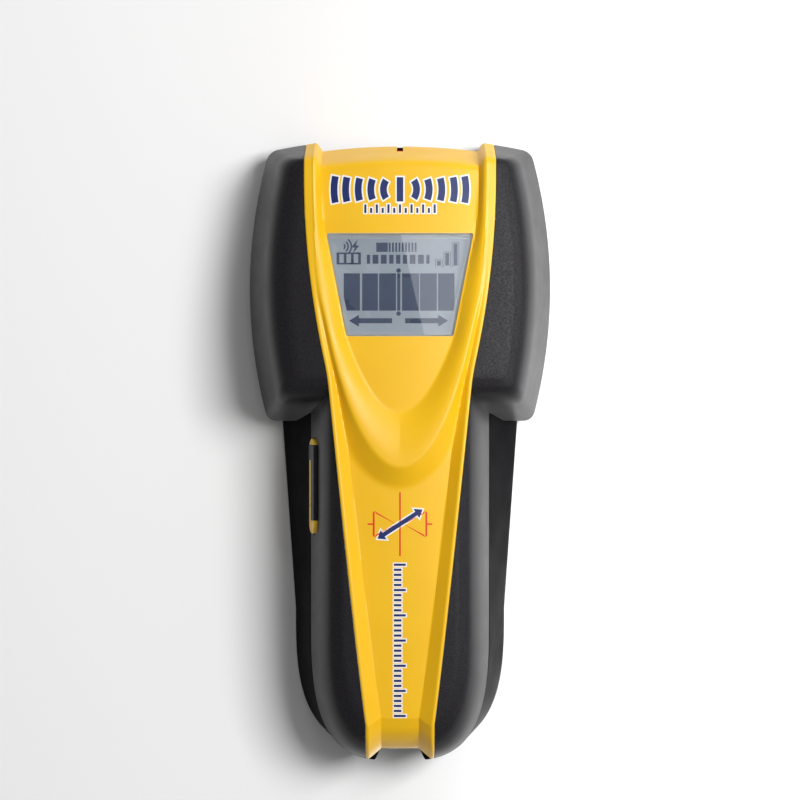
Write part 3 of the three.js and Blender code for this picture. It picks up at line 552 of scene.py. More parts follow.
def head_wall_y(x, level, depth):
    return head_end(x) - monotone(HEAD_END_LEAN, level) - depth


def tail_wall_y(x, level, depth):
    half_width = GRIP_HALF_WIDTH - monotone(GRIP_SIDE_LEAN, level)
    tail = TAIL_LENGTH - monotone(GRIP_TAIL_LEAN, level)
    reach = (1 - np.minimum(1, np.abs(x / half_width)) ** TAIL_POWER) ** (1 / TAIL_POWER)
    return TAIL_CENTRE - tail * reach + TAIL_DEPTH_GAIN * depth


def cover_layer(columns_at, extra, depth_at, foot):
    """Rows of points of one face of the cover, from the foot of the tail wall to that of the head wall."""
    tail_x = columns_at(cover_width(-COVER_REACH) + extra)
    head_x = columns_at(cover_width(COVER_REACH) + extra)
    levels = wall_levels(10, 10)[:-1]

    def wall_row(x, nominal, wall_y, parting, level):
        depth = depth_at(x, np.full(len(x), nominal))
        height = mix(foot, 1, level)
        y = wall_y(x, height, depth)
        return [x, y, mix(parting + GAP, top_height(x, y) - depth, height)]

    def top_row(share):
        nominal = mix(-COVER_REACH, COVER_REACH, share)
        x = columns_at(cover_width(nominal) + extra)
        depth = depth_at(x, np.full(len(x), nominal))
        to_tail_wall = tail_wall_y(tail_x, 1.0, depth) + COVER_REACH
        to_head_wall = head_wall_y(head_x, 1.0, depth) - COVER_REACH
        y = nominal + to_tail_wall * (1 - share) ** 6 + to_head_wall * share**6
        return [x, y, top_height(x, y) - depth]

    rows = [wall_row(tail_x, -COVER_REACH, tail_wall_y, GRIP_PARTING, level) for level in levels]
    rows += [top_row(share) for share in np.linspace(0, 1, 345)]
    rows += [wall_row(head_x, COVER_REACH, head_wall_y, HEAD_PARTING, level) for level in levels[::-1]]
    return np.array(rows).transpose(0, 2, 1)


def cover_sheet(name, columns_at, extra, outer_depth, inner_depth, foot):
    """Closed sheet between two depths below the crowned top, wrapped down over the head and the tail."""
    outer = cover_layer(columns_at, extra, outer_depth, foot)
    inner = cover_layer(columns_at, extra, inner_depth, foot)
    rows, columns = outer.shape[:2]
    points = np.vstack([outer.reshape(-1, 3), inner.reshape(-1, 3)])
    index = np.arange(2 * rows * columns).reshape(2, rows, columns)
    a, b = index[0], index[1]

    def quads(p, q, r, s):
        return np.stack([p, q, r, s], axis=-1).reshape(-1, 4).tolist()

    faces = quads(a[:-1, :-1], a[:-1, 1:], a[1:, 1:], a[1:, :-1])
    faces += quads(b[:-1, :-1], b[1:, :-1], b[1:, 1:], b[:-1, 1:])
    faces += quads(a[:-1, 0], a[1:, 0], b[1:, 0], b[:-1, 0])
    faces += quads(a[:-1, -1], b[:-1, -1], b[1:, -1], a[1:, -1])
    faces += quads(a[0, :-1], b[0, :-1], b[0, 1:], a[0, 1:])
    faces += quads(a[-1, :-1], a[-1, 1:], b[-1, 1:], b[-1, :-1])
    return mesh_object(name, points, faces)


def fine_columns(width):
    """Places across the cover, closer together over its rails and closest at its edges."""
    inward = np.concatenate([np.linspace(0, 0.4, 4), np.linspace(0.4, 4.2, 15)[1:]])
    inner = np.linspace(0, 1, 44)[:-1] * (width - 4.2)
    half = np.concatenate([inner, (width - inward)[::-1]])
    return np.concatenate([-half[1:][::-1], half])


def plain_columns(width):
    return np.linspace(-width, width, 9)


def window_outline(rounding):
    corners = [(-WINDOW_LOW_HALF_WIDTH, WINDOW_LOW), (WINDOW_LOW_HALF_WIDTH, WINDOW_LOW),
               (WINDOW_HEAD_HALF_WIDTH, WINDOW_HEAD), (-WINDOW_HEAD_HALF_WIDTH, WINDOW_HEAD)]
    outline = []
    for i, corner in enumerate(corners):
        here = np.array(corner)
        before = np.array(corners[i - 1]) - here
        after = np.array(corners[(i + 1) % 4]) - here
        start = here + before / np.linalg.norm(before) * rounding
        stop = here + after / np.linalg.norm(after) * rounding
        for t in np.linspace(0, 1, 6):
            outline.append(tuple((1 - t) ** 2 * start + 2 * t * (1 - t) * here + t * t * stop))
    return outline


# ------ materials


class Shader:
    """A small helper that adds nodes to one Principled material."""

    def __init__(self, name):
        self.material = bpy.data.materials.new(name)
        self.material.use_nodes = True
        self.tree = self.material.node_tree
        self.surface = self.tree.nodes["Principled BSDF"]
        self.place = self.tree.nodes.new("ShaderNodeTexCoord").outputs["Object"]

    def add(self, kind, **inputs):
        node = self.tree.nodes.new(kind)
        for key, value in inputs.items():
            self.feed(node.inputs[key.replace("_", " ")], value)
        return node

    def feed(self, socket, value):
        if isinstance(value, bpy.types.NodeSocket):
            self.tree.links.new(value, socket)
        else:
            socket.default_value = value

    def noise(self, per_metre, detail=3.0, roughness=0.5):
        node = self.add("ShaderNodeTexNoise", Vector=self.place, Scale=per_metre, Detail=detail,
                        Roughness=roughness)
        return node.outputs["Fac"]

    def ramp(self, value, low, high, from_low=0.3, from_high=0.7):
        node = self.add("ShaderNodeMapRange")
        for socket, number in zip(node.inputs, (value, from_low, from_high, low, high)):
            self.feed(socket, number)
        return node.outputs[0]

    def blend(self, factor, first, second, kind="RGBA"):
        """Mix of two colours or, where kind is FLOAT, of two values."""
        node = self.add("ShaderNodeMix")
        node.data_type = kind
        start, result = (6, 2) if kind == "RGBA" else (2, 0)
        for i, value in ((0, factor), (start, first), (start + 1, second)):
            self.feed(node.inputs[i], value)
        return node.outputs[result]

    def bump(self, height, strength, distance_mm):
        node = self.add("ShaderNodeBump", Height=height, Strength=strength, Distance=distance_mm * MM)
        return node.outputs["Normal"]

    def set(self, **inputs):
        for key, value in inputs.items():
            self.feed(self.surface.inputs[key.replace("_", " ")], value)
        return self


def rgb(red, green, blue):
    """Linear colour from sRGB values of 0 to 255."""

    def linear(v):
        v /= 255
        return v / 12.92 if v <= 0.04045 else ((v + 0.055) / 1.055) ** 2.4

    return (linear(red), linear(green), linear(blue), 1.0)


def moulded(name, colour, darker, roughness, grain_mm, grain_depth, gloss_spread=0.06, coat=0, specular=0.5):
    """Injection-moulded plastic: faint mottling, fine grain and uneven gloss."""
    s = Shader(name)
    mottle = s.ramp(s.noise(60, 4), 0, 1)
    grain = s.noise(1 / (grain_mm * MM), 2)
    smudge = s.ramp(s.noise(110, 3), roughness - gloss_spread, roughness + gloss_spread)
    s.set(Base_Color=s.blend(mottle, rgb(*colour), rgb(*darker)), Normal=s.bump(grain, 1.0, grain_depth),
          Roughness=smudge, Coat_Weight=coat, Coat_Roughness=0.25, Specular_IOR_Level=specular)
    return s.material


def grained_charcoal(name):
    """Charcoal overmould: spark-grained on faces that look up, smoother on the flanks."""
    s = Shader(name)
    facing = s.add("ShaderNodeSeparateXYZ")
    s.feed(facing.inputs[0], s.tree.nodes["Texture Coordinate"].outputs["Normal"])
    upward = s.ramp(facing.outputs["Z"], 0, 1, 0.55, 0.8)
    grain = s.noise(2100, 4, 0.65)
    fine = s.noise(5200, 2)
    speck = s.ramp(grain, 0, 1, 0.35, 0.68)
    colour = s.blend(speck, rgb(19, 17, 21), rgb(37, 35, 39))
    smooth_colour = s.blend(s.ramp(s.noise(70, 3), 0, 1), rgb(20, 18, 22), rgb(24, 22, 26))
    gloss = s.ramp(speck, 0.62, 0.42, 0, 1)
    flank_gloss = s.ramp(s.noise(150, 3), 0.3, 0.36)
    height = s.blend(upward, s.ramp(fine, 0.4, 0.6, 0, 1), grain, "FLOAT")
    s.set(Base_Color=s.blend(upward, smooth_colour, colour), Normal=s.bump(height, 0.9, 0.09),
          Roughness=s.blend(upward, flank_gloss, gloss, "FLOAT"), Specular_IOR_Level=0.22)
    return s.material


def dimmed(colour, share):
    return tuple(share * c for c in colour[:3]) + (1,)


def metal(name, colour, roughness, streak_mm=0.4):
    """Metal or foil with fine uneven gloss."""
    s = Shader(name)
    streak = s.noise(1 / (streak_mm * MM), 3)
    s.set(Base_Color=s.blend(s.ramp(streak, 0, 1), colour, dimmed(colour, 0.8)),
          Roughness=s.ramp(streak, roughness - 0.08, roughness + 0.1), Metallic=1.0,
          Normal=s.bump(streak, 0.5, 0.01))
    return s.material


def printed(name, colour, roughness=0.4):
    """Ink or label film, a little patchy."""
    s = Shader(name)
    patch = s.ramp(s.noise(900, 3), 0, 1)
    s.set(Base_Color=s.blend(patch, colour, dimmed(colour, 0.88)),
          Roughness=s.ramp(s.noise(400, 2), roughness - 0.05, roughness + 0.05),
          Normal=s.bump(s.noise(3500, 2), 0.5, 0.005))
    return s.material


def clear_window(name):
    s = Shader(name)
    s.set(Base_Color=s.blend(s.noise(200, 2), (0.96, 0.98, 1, 1), (0.93, 0.95, 0.97, 1)),
          Roughness=s.ramp(s.noise(300, 2), 0.0, 0.012), IOR=1.49, Transmission_Weight=1.0,
          Normal=s.bump(s.noise(500, 2), 0.2, 0.0005))
    return s.material


YELLOW = moulded("yellow_plastic", (240, 188, 8), (236, 182, 5), 0.46, 0.5, 0.006, 0.05)
CHARCOAL = grained_charcoal("charcoal_grip")
BLACK = moulded("black_plastic", (12, 11, 14), (9, 8, 11), 0.72, 0.4, 0.01, specular=0.045)
# The button's yellow is paler and brighter than the cover's yellow plastic, which it is made of: a painted
# highlight that stands in for light on its shaded side.
BUTTON_YELLOW_PAINTED_HIGHLIGHT = moulded("button_yellow_painted_highlight", (254, 206, 52), (250, 198, 44), 0.32, 0.5, 0.005)
RUBBER = moulded("grey_rubber", (40, 40, 42), (34, 34, 36), 0.75, 0.3, 0.02)
GASKET = moulded("display_gasket_grey", (180, 188, 196), (174, 182, 190), 0.6, 0.3, 0.01)
FOAM = moulded("foam", (48, 50, 54), (30, 31, 34), 0.95, 0.8, 0.25)
COMPONENT = moulded("component_black", (28, 28, 30), (20, 20, 22), 0.5, 0.2, 0.01)
BOARD = moulded("board_green", (24, 92, 52), (18, 78, 44), 0.35, 1.2, 0.01, 0.05, 0.3)
WINDOW = clear_window("clear_window")
LCD = moulded("lcd_glass", (180, 189, 198), (174, 183, 192), 0.25, 0.3, 0.002)
LCD_INK = moulded("lcd_segment", (70, 82, 112), (66, 78, 106), 0.3, 0.3, 0.002)
LENS_RED = moulded("red_lens", (205, 24, 26), (188, 16, 20), 0.12, 0.5, 0.002, 0.03)
RED_WIRE = moulded("red_insulation", (176, 22, 26), (160, 18, 22), 0.4, 0.4, 0.006)
BLACK_WIRE = moulded("black_insulation", (20, 20, 22), (15, 15, 17), 0.4, 0.4, 0.006)
STEEL = metal("steel", (0.62, 0.62, 0.63, 1), 0.32)
COPPER = metal("copper", (0.8, 0.42, 0.22, 1), 0.35)
LABEL = printed("label_silver", rgb(182, 184, 188), 0.4)
BLUE_INK = printed("blue_ink", rgb(3, 32, 100), 0.45)
WHITE_INK = printed("white_ink", rgb(246, 246, 244), 0.4)
RED_INK = printed("red_ink", rgb(226, 52, 22), 0.4)
LABEL_INK = printed("pale_ink", rgb(206, 208, 212), 0.4)
BATTERY_JACKET = metal("battery_jacket", (0.05, 0.055, 0.065, 1), 0.35)
BATTERY_BAND = metal("battery_band", (0.6, 0.42, 0.14, 1), 0.3)


def finish_piece(piece, material, body, slot, *nodes):
    """Gives a piece its material and its body, and hides the CAD nodes that it stands for; the record slot
    is not used.
    """
    piece.data.materials.clear()
    piece.data.materials.append(material)
    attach(piece, body)
    if nodes:
        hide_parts(*nodes)
    return piece


# ------ housings


def constant(value):
    """A function of place that has this value everywhere."""
    return lambda first, *others: value + 0 * first


def make_upper_housing():
    shell = join(head_mound("housing_charcoal", 0, HEAD_PARTING + GAP),
                 grip_mound("grip", 0, GRIP_PARTING + GAP, 34))
    above_top, seat_depth = constant(-6), constant(COVER_SEAT_DEPTH)
    seat = cover_sheet("seat", plain_columns, COVER_GAP, above_top, seat_depth, -0.15)
    hollow = join(head_mound("hollow", WALL, 5), grip_mound("grip_hollow", WALL, 12, 30))
    button_room = button_bar("button_room", 0.4, constant(-32), -16, 0)
    return cut(shell, seat, hollow, button_room)


def make_cover():
    def underside(x, y):
        rim = np.abs(x) > cover_width(y) - COVER_THICKNESS
        return np.where(rim, COVER_THICKNESS, cover_depth(x, y) + COVER_THICKNESS)

    sheet = cover_sheet("cover_yellow", fine_columns, 0, cover_depth, underside, 0.02)
    window = prism("window_cut", window_outline(0.8), 20, 40)
    slot = centred_block("light_slot", LIGHT_SLOT_HALF_WIDTH, 78, 92, 5, 16)
    return cut(sheet, window, slot)


def button_face(proud):
    """Where the button's leaning outer face is at height z, proud of it by this much."""
    return lambda z: BUTTON_FACE_X - proud + (z - BUTTON_LOW) * BUTTON_LEAN


def stadium(grow):
    """The button's outline in y and z: straight sides and round ends."""
    radius = (BUTTON_HIGH - BUTTON_LOW) / 2
    middle = (BUTTON_HIGH + BUTTON_LOW) / 2
    reach = radius + grow
    outline = []
    for y, start in ((BUTTON_HEAD - radius, math.pi / 2), (BUTTON_TAIL + radius, 3 * math.pi / 2)):
        for angle in np.linspace(start, start - math.pi, 17):
            outline.append((y + reach * math.cos(angle), middle + reach * math.sin(angle)))
    return np.array(outline)


def button_bar(name, grow, outer_at, inner, rounding):
    """A bar along X with the button's outline, its outer rim rounded."""
    outline = stadium(grow)
    rings = [np.column_stack([np.full(len(outline), inner), outline])]
    for angle in np.linspace(0, math.pi / 2, 6 if rounding else 1):
        edge = stadium(grow - rounding * (1 - math.cos(angle)))
        outer = outer_at(edge[:, 1]) + rounding * (1 - math.sin(angle))
        rings.append(np.column_stack([outer, edge]))
    middle = ((BUTTON_HEAD + BUTTON_TAIL) / 2, (BUTTON_HIGH + BUTTON_LOW) / 2)
    return fix_normals(closed_rings(name, rings, (inner, *middle), (outer_at(middle[1]), *middle)))


def base_outside(name):
    return join(base_head_block(name, GAP, 0, HEAD_PARTING),
                base_grip_block("grip", 0, 0, GRIP_PARTING, BASE_GRIP_FRONT))


def make_base():
    tub = base_outside("housing_black")
    head_room = base_head_block("head_room", GAP + BASE_WALL, BASE_WALL, HEAD_PARTING + 2)
    grip_room = base_grip_block("grip_room", -BASE_WALL, BASE_WALL, GRIP_PARTING + 2, BASE_GRIP_FRONT + 4)
    cut(tub, head_room, grip_room)
    bay = centred_block("bay", BAY_HALF_WIDTH, BAY_TAIL, BAY_HEAD, 1, BAY_ROOF)
    bosses = [prism("boss", circle(x, y, BOSS_RADIUS), 1, GRIP_PARTING if y < 0 else HEAD_PARTING)
              for x, y in CASE_SCREWS.values()]
    posts = [prism("post", circle(x, y, POST_RADIUS, 24), 1.5, SENSOR_BOARD_BOTTOM)
             for x in (-POST_X, POST_X) for y in (25.4, 76)]
    join(tub, bay, *bosses, *posts)
    envelope = centred_block("bay_envelope", BAY_HALF_WIDTH, BAY_TAIL + 0.1, BAY_HEAD, 5, 30)
    combine(tub, [join(base_outside("outer"), envelope)], "INTERSECT")
    bay_room = centred_block("bay_room", BAY_HALF_WIDTH - BAY_WALL, BAY_TAIL + BAY_TAIL_WALL,
                             BAY_HEAD - BAY_WALL, -1, BAY_ROOF - BAY_WALL)
    lead_room = centred_block("lead_room", 5, BAY_HEAD - 2.5, BAY_HEAD + 2.5, 9.5, 15.5)
    heads = [prism("head_room", circle(x, y, SCREW_HEAD_ROOM), -1, 3.4) for x, y in CASE_SCREWS.values()]
    pilots = [prism("pilot", circle(x, y, SCREW_PILOT, 24), 2, 30) for x, y in CASE_SCREWS.values()]
    label_room = centred_block("label_room", 16, 40, 62, -1, 0.6)
    hinge_room = cylinder_x("hinge_room", HINGE_Y, HINGE_Z, HINGE_ROOM, 16.1)
    wing_room = head_mound("wing_room", -GAP, HEAD_PARTING)
    return cut(tub, bay_room, lead_room, label_room, hinge_room, wing_room, *heads, *pilots)


finish_piece(shade(make_upper_housing()), CHARCOAL, "casing", "charcoal_grip", "upper_housing")
finish_piece(shade(make_cover()), YELLOW, "casing", "yellow_plastic", "front_cover")
finish_piece(shade(make_base()), BLACK, "casing", "black_plastic", "base_housing")
# The button takes the paler yellow with the painted highlight.
button = join(button_bar("button_cap", 0, button_face(0), -19.7, 0.35),
              button_bar("flange", 0.7, constant(-19.9), -19, 0))
finish_piece(shade(button), BUTTON_YELLOW_PAINTED_HIGHLIGHT, "power_button", "yellow_plastic", "power_button")

# ------ flat shapes for print and ink


def offset_outline(outline, grow):
    """Moves each side of a convex counter-clockwise outline out by grow."""
    p = np.array(outline, float)
    before = p - np.roll(p, 1, axis=0)
    after = np.roll(p, -1, axis=0) - p
    before /= np.linalg.norm(before, axis=1)[:, None]
    after /= np.linalg.norm(after, axis=1)[:, None]
    n0 = np.column_stack([before[:, 1], -before[:, 0]])
    n1 = np.column_stack([after[:, 1], -after[:, 0]])
    share = np.maximum(0.35, 1 + np.sum(n0 * n1, axis=1))[:, None]
    return p + grow * (n0 + n1) / share


def rectangle(x0, x1, y0, y1):
    return [(x0, y0), (x1, y0), (x1, y1), (x0, y1)]


def arc_band(x, y, radius, thickness, start, stop, steps=14):
    """Outline of part of a ring, from angle start to stop in degrees."""
    angles = np.radians(np.linspace(start, stop, steps + 1))

    def arc(r):
        return [(x + r * math.cos(a), y + r * math.sin(a)) for a in angles]

    return arc(radius + thickness / 2) + arc(radius - thickness / 2)[::-1]


def turned(outline, degrees, x, y):
    """An outline turned about its origin, which then goes to x and y."""
    c, s = math.cos(math.radians(degrees)), math.sin(math.radians(degrees))
    return [(x + c * px - s * py, y + s * px + c * py) for px, py in outline]


def flat_pieces(name, outlines, z0, z1):
    """One mesh of separate thin prisms with these outlines."""
    points, faces = [], []
    for outline in outlines:
        faces += prism_faces(len(outline), len(points))
        points += [(x, y, z) for z in (z0, z1) for x, y in outline]
    return fix_normals(mesh_object(name, points, faces))


# ------ display


def tray_height(y):
    return float(top_height(0, y)) - TRAY_DEPTH


DISPLAY_TILT = -math.atan((tray_height(WINDOW_LOW) - tray_height(WINDOW_HEAD)) / (WINDOW_HEAD - WINDOW_LOW))
DISPLAY_Y = (WINDOW_LOW + WINDOW_HEAD) / 2
DISPLAY_Z = (tray_height(WINDOW_LOW) + tray_height(WINDOW_HEAD)) / 2 - WINDOW_RECESS
LCD_TOP = -2.6  # below the window's face


def tilt_into_display(piece):
    """Turns a piece made flat, with z as the height above the window's face, into the display's plane."""
    x, y, z = points_of(piece).T
    y -= DISPLAY_Y
    c, s = math.cos(DISPLAY_TILT), math.sin(DISPLAY_TILT)
    return put_points(piece, np.column_stack([x, DISPLAY_Y + c * y - s * z, DISPLAY_Z + s * y + c * z]))


def lcd_bars(starts_and_widths, y0, y1):
    return [rectangle(x, x + width, y0, y1) for x, width in starts_and_widths]


BIG_BLOCKS = [(-15.6, 4.5), (-10.5, 4.4), (-5.8, 4.7), (-0.8, 0.9), (0.55, 4.75), (5.5, 4.7), (10.5, 4.6)]
TEXT_BLOCKS = [(-9.2, 0.9), (-7.6, 1.6), (-5.3, 1.6), (-3, 1.2), (-1.1, 1.2), (0.8, 1.2), (2.7, 1.6),
               (5, 1.6), (7.3, 0.9)]
METER_BARS = [(-6.6, 3.2), *[(-3.1 + 0.9 * i, 0.5) for i in range(9)]]
SIGNAL_BARS = [(9.8, 2.1), (12.1, 4.3), (14.4, 6.9)]
ARROW = [(0, 1.65), (0, 0.7), (-9.2, 0.7), (-9.2, -0.7), (0, -0.7), (0, -1.65), (2.7, 0)]
ARROW_Y = 36.5
FLASH = [(0.15, 0.35), (1.1, 0.35), (-0.6, -2), (-0.1, -0.3), (-1.1, -0.3), (0.5, 2)]
CORNER_SIGN = (-12.4, 57.2)

lcd_shapes = lcd_bars(BIG_BLOCKS, 39.3, 49.7) + lcd_bars(TEXT_BLOCKS, 52.4, 54.9)
lcd_shapes += lcd_bars(METER_BARS, 55.7, 58.3)
lcd_shapes += [circle(-0.4, y, 0.64, 20) for y in (50.5, 38.5)]
lcd_shapes.append([(x + 10.6, y + ARROW_Y) for x, y in ARROW][::-1])
lcd_shapes.append([(-11.4 - x, y + ARROW_Y) for x, y in ARROW])
lcd_shapes.append(turned(FLASH, -4, *CORNER_SIGN))
lcd_shapes += [arc_band(-16.2, CORNER_SIGN[1], radius, 0.42, -48, 48, 8) for radius in (0.9, 1.8, 2.7)]
lcd_shapes += lcd_bars([(x, 0.75) for x in (-17.6, -15.6, -13.6, -11.6)], 52.6, 55.1)
lcd_shapes += [rectangle(-17.6, -10.85, y, y + 0.45) for y in (52.2, 55.1)]
for x, height in SIGNAL_BARS:
    top = 51.5 + height
    lcd_shapes.append(rectangle(x + 0.45, x + 1.55, 51.9, top - 0.4))
    lcd_shapes += [rectangle(x, x + 0.15, 51.4, top), rectangle(x + 1.85, x + 2, 51.4, top)]
    lcd_shapes.append(rectangle(x + 0.15, x + 1.85, top - 0.15, top))

segments = tilt_into_display(flat_pieces("lcd_segments", lcd_shapes, LCD_TOP + 0.01, LCD_TOP + 0.07))
finish_piece(segments, LCD_INK, "casing", "lcd_glass")

# ------ print on the cover

PRINT_LIFT = 0.02
PRINT_STEP = 1.0  # the print follows the cover's curves in facets of this size


def print_on_cover(name, outlines, material, lift):
    """Thin ink shapes that hug the cover's face."""
    piece = flat_pieces(name, outlines, 0, 1)
    work = bmesh.new()
    work.from_mesh(piece.data)
    every = points_of(piece)
    for axis in (0, 1):
        low, high = every[:, axis].min(), every[:, axis].max()
        for at in np.arange(math.ceil(low), high, PRINT_STEP):
            place, direction = [0, 0, 0], [0, 0, 0]
            place[axis], direction[axis] = at * MM, 1
            bmesh.ops.bisect_plane(work, geom=[*work.verts, *work.edges, *work.faces], plane_co=place,
                                   plane_no=direction, dist=1e-8)
    bmesh.ops.triangulate(work, faces=work.faces)
    work.to_mesh(piece.data)
    work.free()
    x, y, z = points_of(piece).T
    face = top_height(x, y) - cover_depth(x, y)
    put_points(piece, np.column_stack([x, y, face + np.where(z > 0.5, lift, -0.05)]))
    finish_piece(shade(piece), material, "casing", "black_plastic")


def with_outline(name, outlines, ink, grow):
    """Ink on a slightly larger white underprint."""
    print_on_cover(name + "_edge", [offset_outline(o, grow) for o in outlines], WHITE_INK, PRINT_LIFT)
    print_on_cover(name, outlines, ink, 2 * PRINT_LIFT)


SENSING_CENTRE = 72.8
sensing = [rectangle(-0.9, 0.9, SENSING_CENTRE - 3.4, SENSING_CENTRE + 3.4)]
for radius, half_height in ((4.6, 2.5), (8.1, 2.8), (11.6, 3.1), (15.1, 3.4), (18.3, 3.7)):
    half_angle = math.degrees(math.asin(half_height / radius))
    for side in (0, 180):
        sensing.append(arc_band(0, SENSING_CENTRE, radius, 1.9, side - half_angle, side + half_angle))
scale_ticks = [rectangle(x - 0.3, x + 0.3, 66.2, 68.6 if i % 2 == 0 else 67.6)
               for i, x in enumerate(np.arange(-9.6, 9.7, 1.6))]
RULER_STEP = 1.4
ruler = []
for i in range(31):
    y = -31 - i * RULER_STEP
    ruler.append(rectangle(-1.7, 1.6 if i % 5 == 0 else 0.4, y - 0.32, y + 0.32))
CENTRE_MARK_Y = -19.8
centre_mark = [rectangle(-0.22, 0.22, -28.6, -11)]
centre_mark += [rectangle(x, x + 1.9, CENTRE_MARK_Y - 0.22, CENTRE_MARK_Y + 0.22) for x in (-8.9, 7)]
BOW_TIE_SIDES = [
    [(7, -3.6), (7.5, -3.2), (7.5, 3.2), (7, 3.6)], [(7, 3.6), (6.6, 2.9), (1.6, 0.25), (1, 0)],
    [(1, 0), (1.6, -0.25), (6.6, -2.9), (7, -3.6)],
]
for side in (-1, 1):
    for outline in BOW_TIE_SIDES:
        centre_mark.append([(side * x, y + CENTRE_MARK_Y) for x, y in outline][::side])
POINTER = [(-7.4, 0), (-5.4, -1.5), (-5.4, -0.6), (5.4, -0.6), (5.4, -1.5), (7.4, 0), (5.4, 1.5), (5.4, 0.6),
           (-5.4, 0.6), (-5.4, 1.5)]

with_outline("sensing_mark", sensing, BLUE_INK, 0.42)
with_outline("scale_mark", scale_ticks, BLUE_INK, 0.34)
with_outline("ruler_mark", ruler, BLUE_INK, 0.3)
print_on_cover("centre_mark", centre_mark, RED_INK, PRINT_LIFT)
with_outline("pointer_mark", [turned(POINTER, 33, 0, CENTRE_MARK_Y)], BLUE_INK, 0.36)

# ------ battery door, latch and screws


def rounded_rectangle(half_width, y0, y1, radius, steps=6):
    outline = []
    x0, x1 = -half_width, half_width
    for cx, cy, start in ((x1 - radius, y0 + radius, -90), (x1 - radius, y1 - radius, 0),
                          (x0 + radius, y1 - radius, 90), (x0 + radius, y0 + radius, 180)):
        for i in range(steps + 1):
            a = math.radians(start + 90 * i / steps)
            outline.append((cx + radius * math.cos(a), cy + radius * math.sin(a)))
    return outline


def make_door():
    outline = rounded_rectangle(DOOR_HALF_WIDTH, DOOR_TAIL, HINGE_Y, 0.8)
    panel = bevel(prism("battery_door_fine", outline, DOOR_BOTTOM, DOOR_TOP), 0.2, 2)
    latch_slot = centred_block("slot", LATCH_HALF_WIDTH + GAP, -76, LATCH_ROOT + GAP, -1, 4)
    grooves = []
    for i in range(-2, 3):
        y = -57.5 + i * 2.2
        grooves.append(centred_block("groove", 9 - abs(i) * 0.6, y - 0.45, y + 0.45, 0, 0.75))
    arrow = prism("arrow", [(-3.2, -44), (0, -48.5), (3.2, -44)], 0, 0.6)
    cut(panel, latch_slot, *grooves, arrow)
    ribs = [block("rib", x - 0.5, x + 0.5, -62, -22, 1.8, 2.7) for x in (-9, 9)]
    barrel = cylinder_x("barrel", HINGE_Y, HINGE_Z, HINGE_BARREL, DOOR_HALF_WIDTH, 64)
    return join(panel, barrel, cylinder_x("pin", HINGE_Y, HINGE_Z, HINGE_PIN, 15.8, 48), *ribs)


def make_latch():
    outline = rounded_rectangle(LATCH_HALF_WIDTH, LATCH_TAIL, LATCH_ROOT, 0.5)
    tab = prism("battery_door_latch_fine", outline, 0.4, 1.7)
    bevel(tab, 0.15, 2)
    hook = centred_block("hook", 4, LATCH_TAIL, LATCH_TAIL + 0.7, 1.2, 3)
    ridges = [cylinder_x("ridge", LATCH_TAIL + step, 0.45, 0.35, 3.6, 24) for step in (1.6, 2.9, 4.2)]
    return join(tab, hook, *ridges)


def make_case_screw(name, x, y, reach):
    """A round-headed screw with a cross recess, its head down and its tip at reach."""
    profile = [(0, 1.25), (1.5, 1.15), (2.3, 1.3), (2.62, 1.6), (2.7, 2.1), (2.7, 3), (1.3, 3)]
    z = 3.0
    while z + 0.9 < reach - 1:
        profile += [(1.3, z + 0.5), (1.55, z + 0.75), (1.3, z + 1.0)]
        z += 0.9
    profile += [(1.3, reach - 0.8), (0.5, reach), (0, reach)]
    screw = fix_normals(lathe(name, profile, 40))
    put_points(screw, points_of(screw) + [x, y, 0])
    cross = [block("cross", x - a, x + a, y - b, y + b, 0.5, 2.2) for a, b in ((1.6, 0.32), (0.32, 1.6))]
    return cut(screw, *cross)


finish_piece(shade(make_door(), 25), BLACK, "battery_door", "black_plastic", "battery_door")
finish_piece(shade(make_latch(), 25), BLACK, "battery_door_latch", "black_plastic", "battery_door_latch")
for place, (x, y) in CASE_SCREWS.items():
    name = "case_screw_" + place
    screw = make_case_screw(name + "_fine", x, y, SCREW_REACH[place.split("_")[0]])
    finish_piece(shade(screw), STEEL, "casing", "steel", name)

# ------ battery and label

BATTERY_SIDE, BATTERY_FLOOR, BATTERY_ROOF = 13.25, 3.4, 20.9
BATTERY_TAIL, BATTERY_STEP, BATTERY_HEAD = -72.1, -38.0, -23.6
battery_outline = rounded_rectangle(BATTERY_SIDE, BATTERY_FLOOR, BATTERY_ROOF, 2, 10)
jacket = prism_along_y("battery_jacket_dark", battery_outline, BATTERY_TAIL, BATTERY_STEP - 0.01)
finish_piece(shade(bevel(jacket, 0.3)), BATTERY_JACKET, "casing", "battery_jacket", "battery")
band = prism_along_y("battery_jacket_band", battery_outline, BATTERY_STEP + 0.01, BATTERY_HEAD)
finish_piece(shade(bevel(band, 0.3)), BATTERY_BAND, "casing", "battery_jacket", "battery")


def signs(x_plus, x_minus, y, size, stroke):
    """A plus sign and a minus sign, as outlines."""
    half = stroke / 2
    minus = [rectangle(x_minus - size, x_minus + size, y - half, y + half)]
    plus = [rectangle(x_plus - size, x_plus - half, y - half, y + half),
            rectangle(x_plus + half, x_plus + size, y - half, y + half),
            rectangle(x_plus - half, x_plus + half, y - size, y + size)]
    return minus + plus


def frame_outlines(x0, x1, y0, y1, stroke):
    """The four sides of a rectangular frame."""
    ends = [rectangle(x0, x1, y, y + stroke) for y in (y0, y1 - stroke)]
    return ends + [rectangle(x, x + stroke, y0 + stroke, y1 - stroke) for x in (x0, x1 - stroke)]


PLUS_X = float(np.mean(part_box("battery_terminal_positive"), axis=0)[0]) / MM
sign_outlines = signs(PLUS_X, -PLUS_X, -31, 2.2, 0.9)
battery_print = flat_pieces("battery_signs", sign_outlines, BATTERY_FLOOR - 0.05, BATTERY_FLOOR - 0.01)
finish_piece(battery_print, LABEL_INK, "casing", "black_plastic")

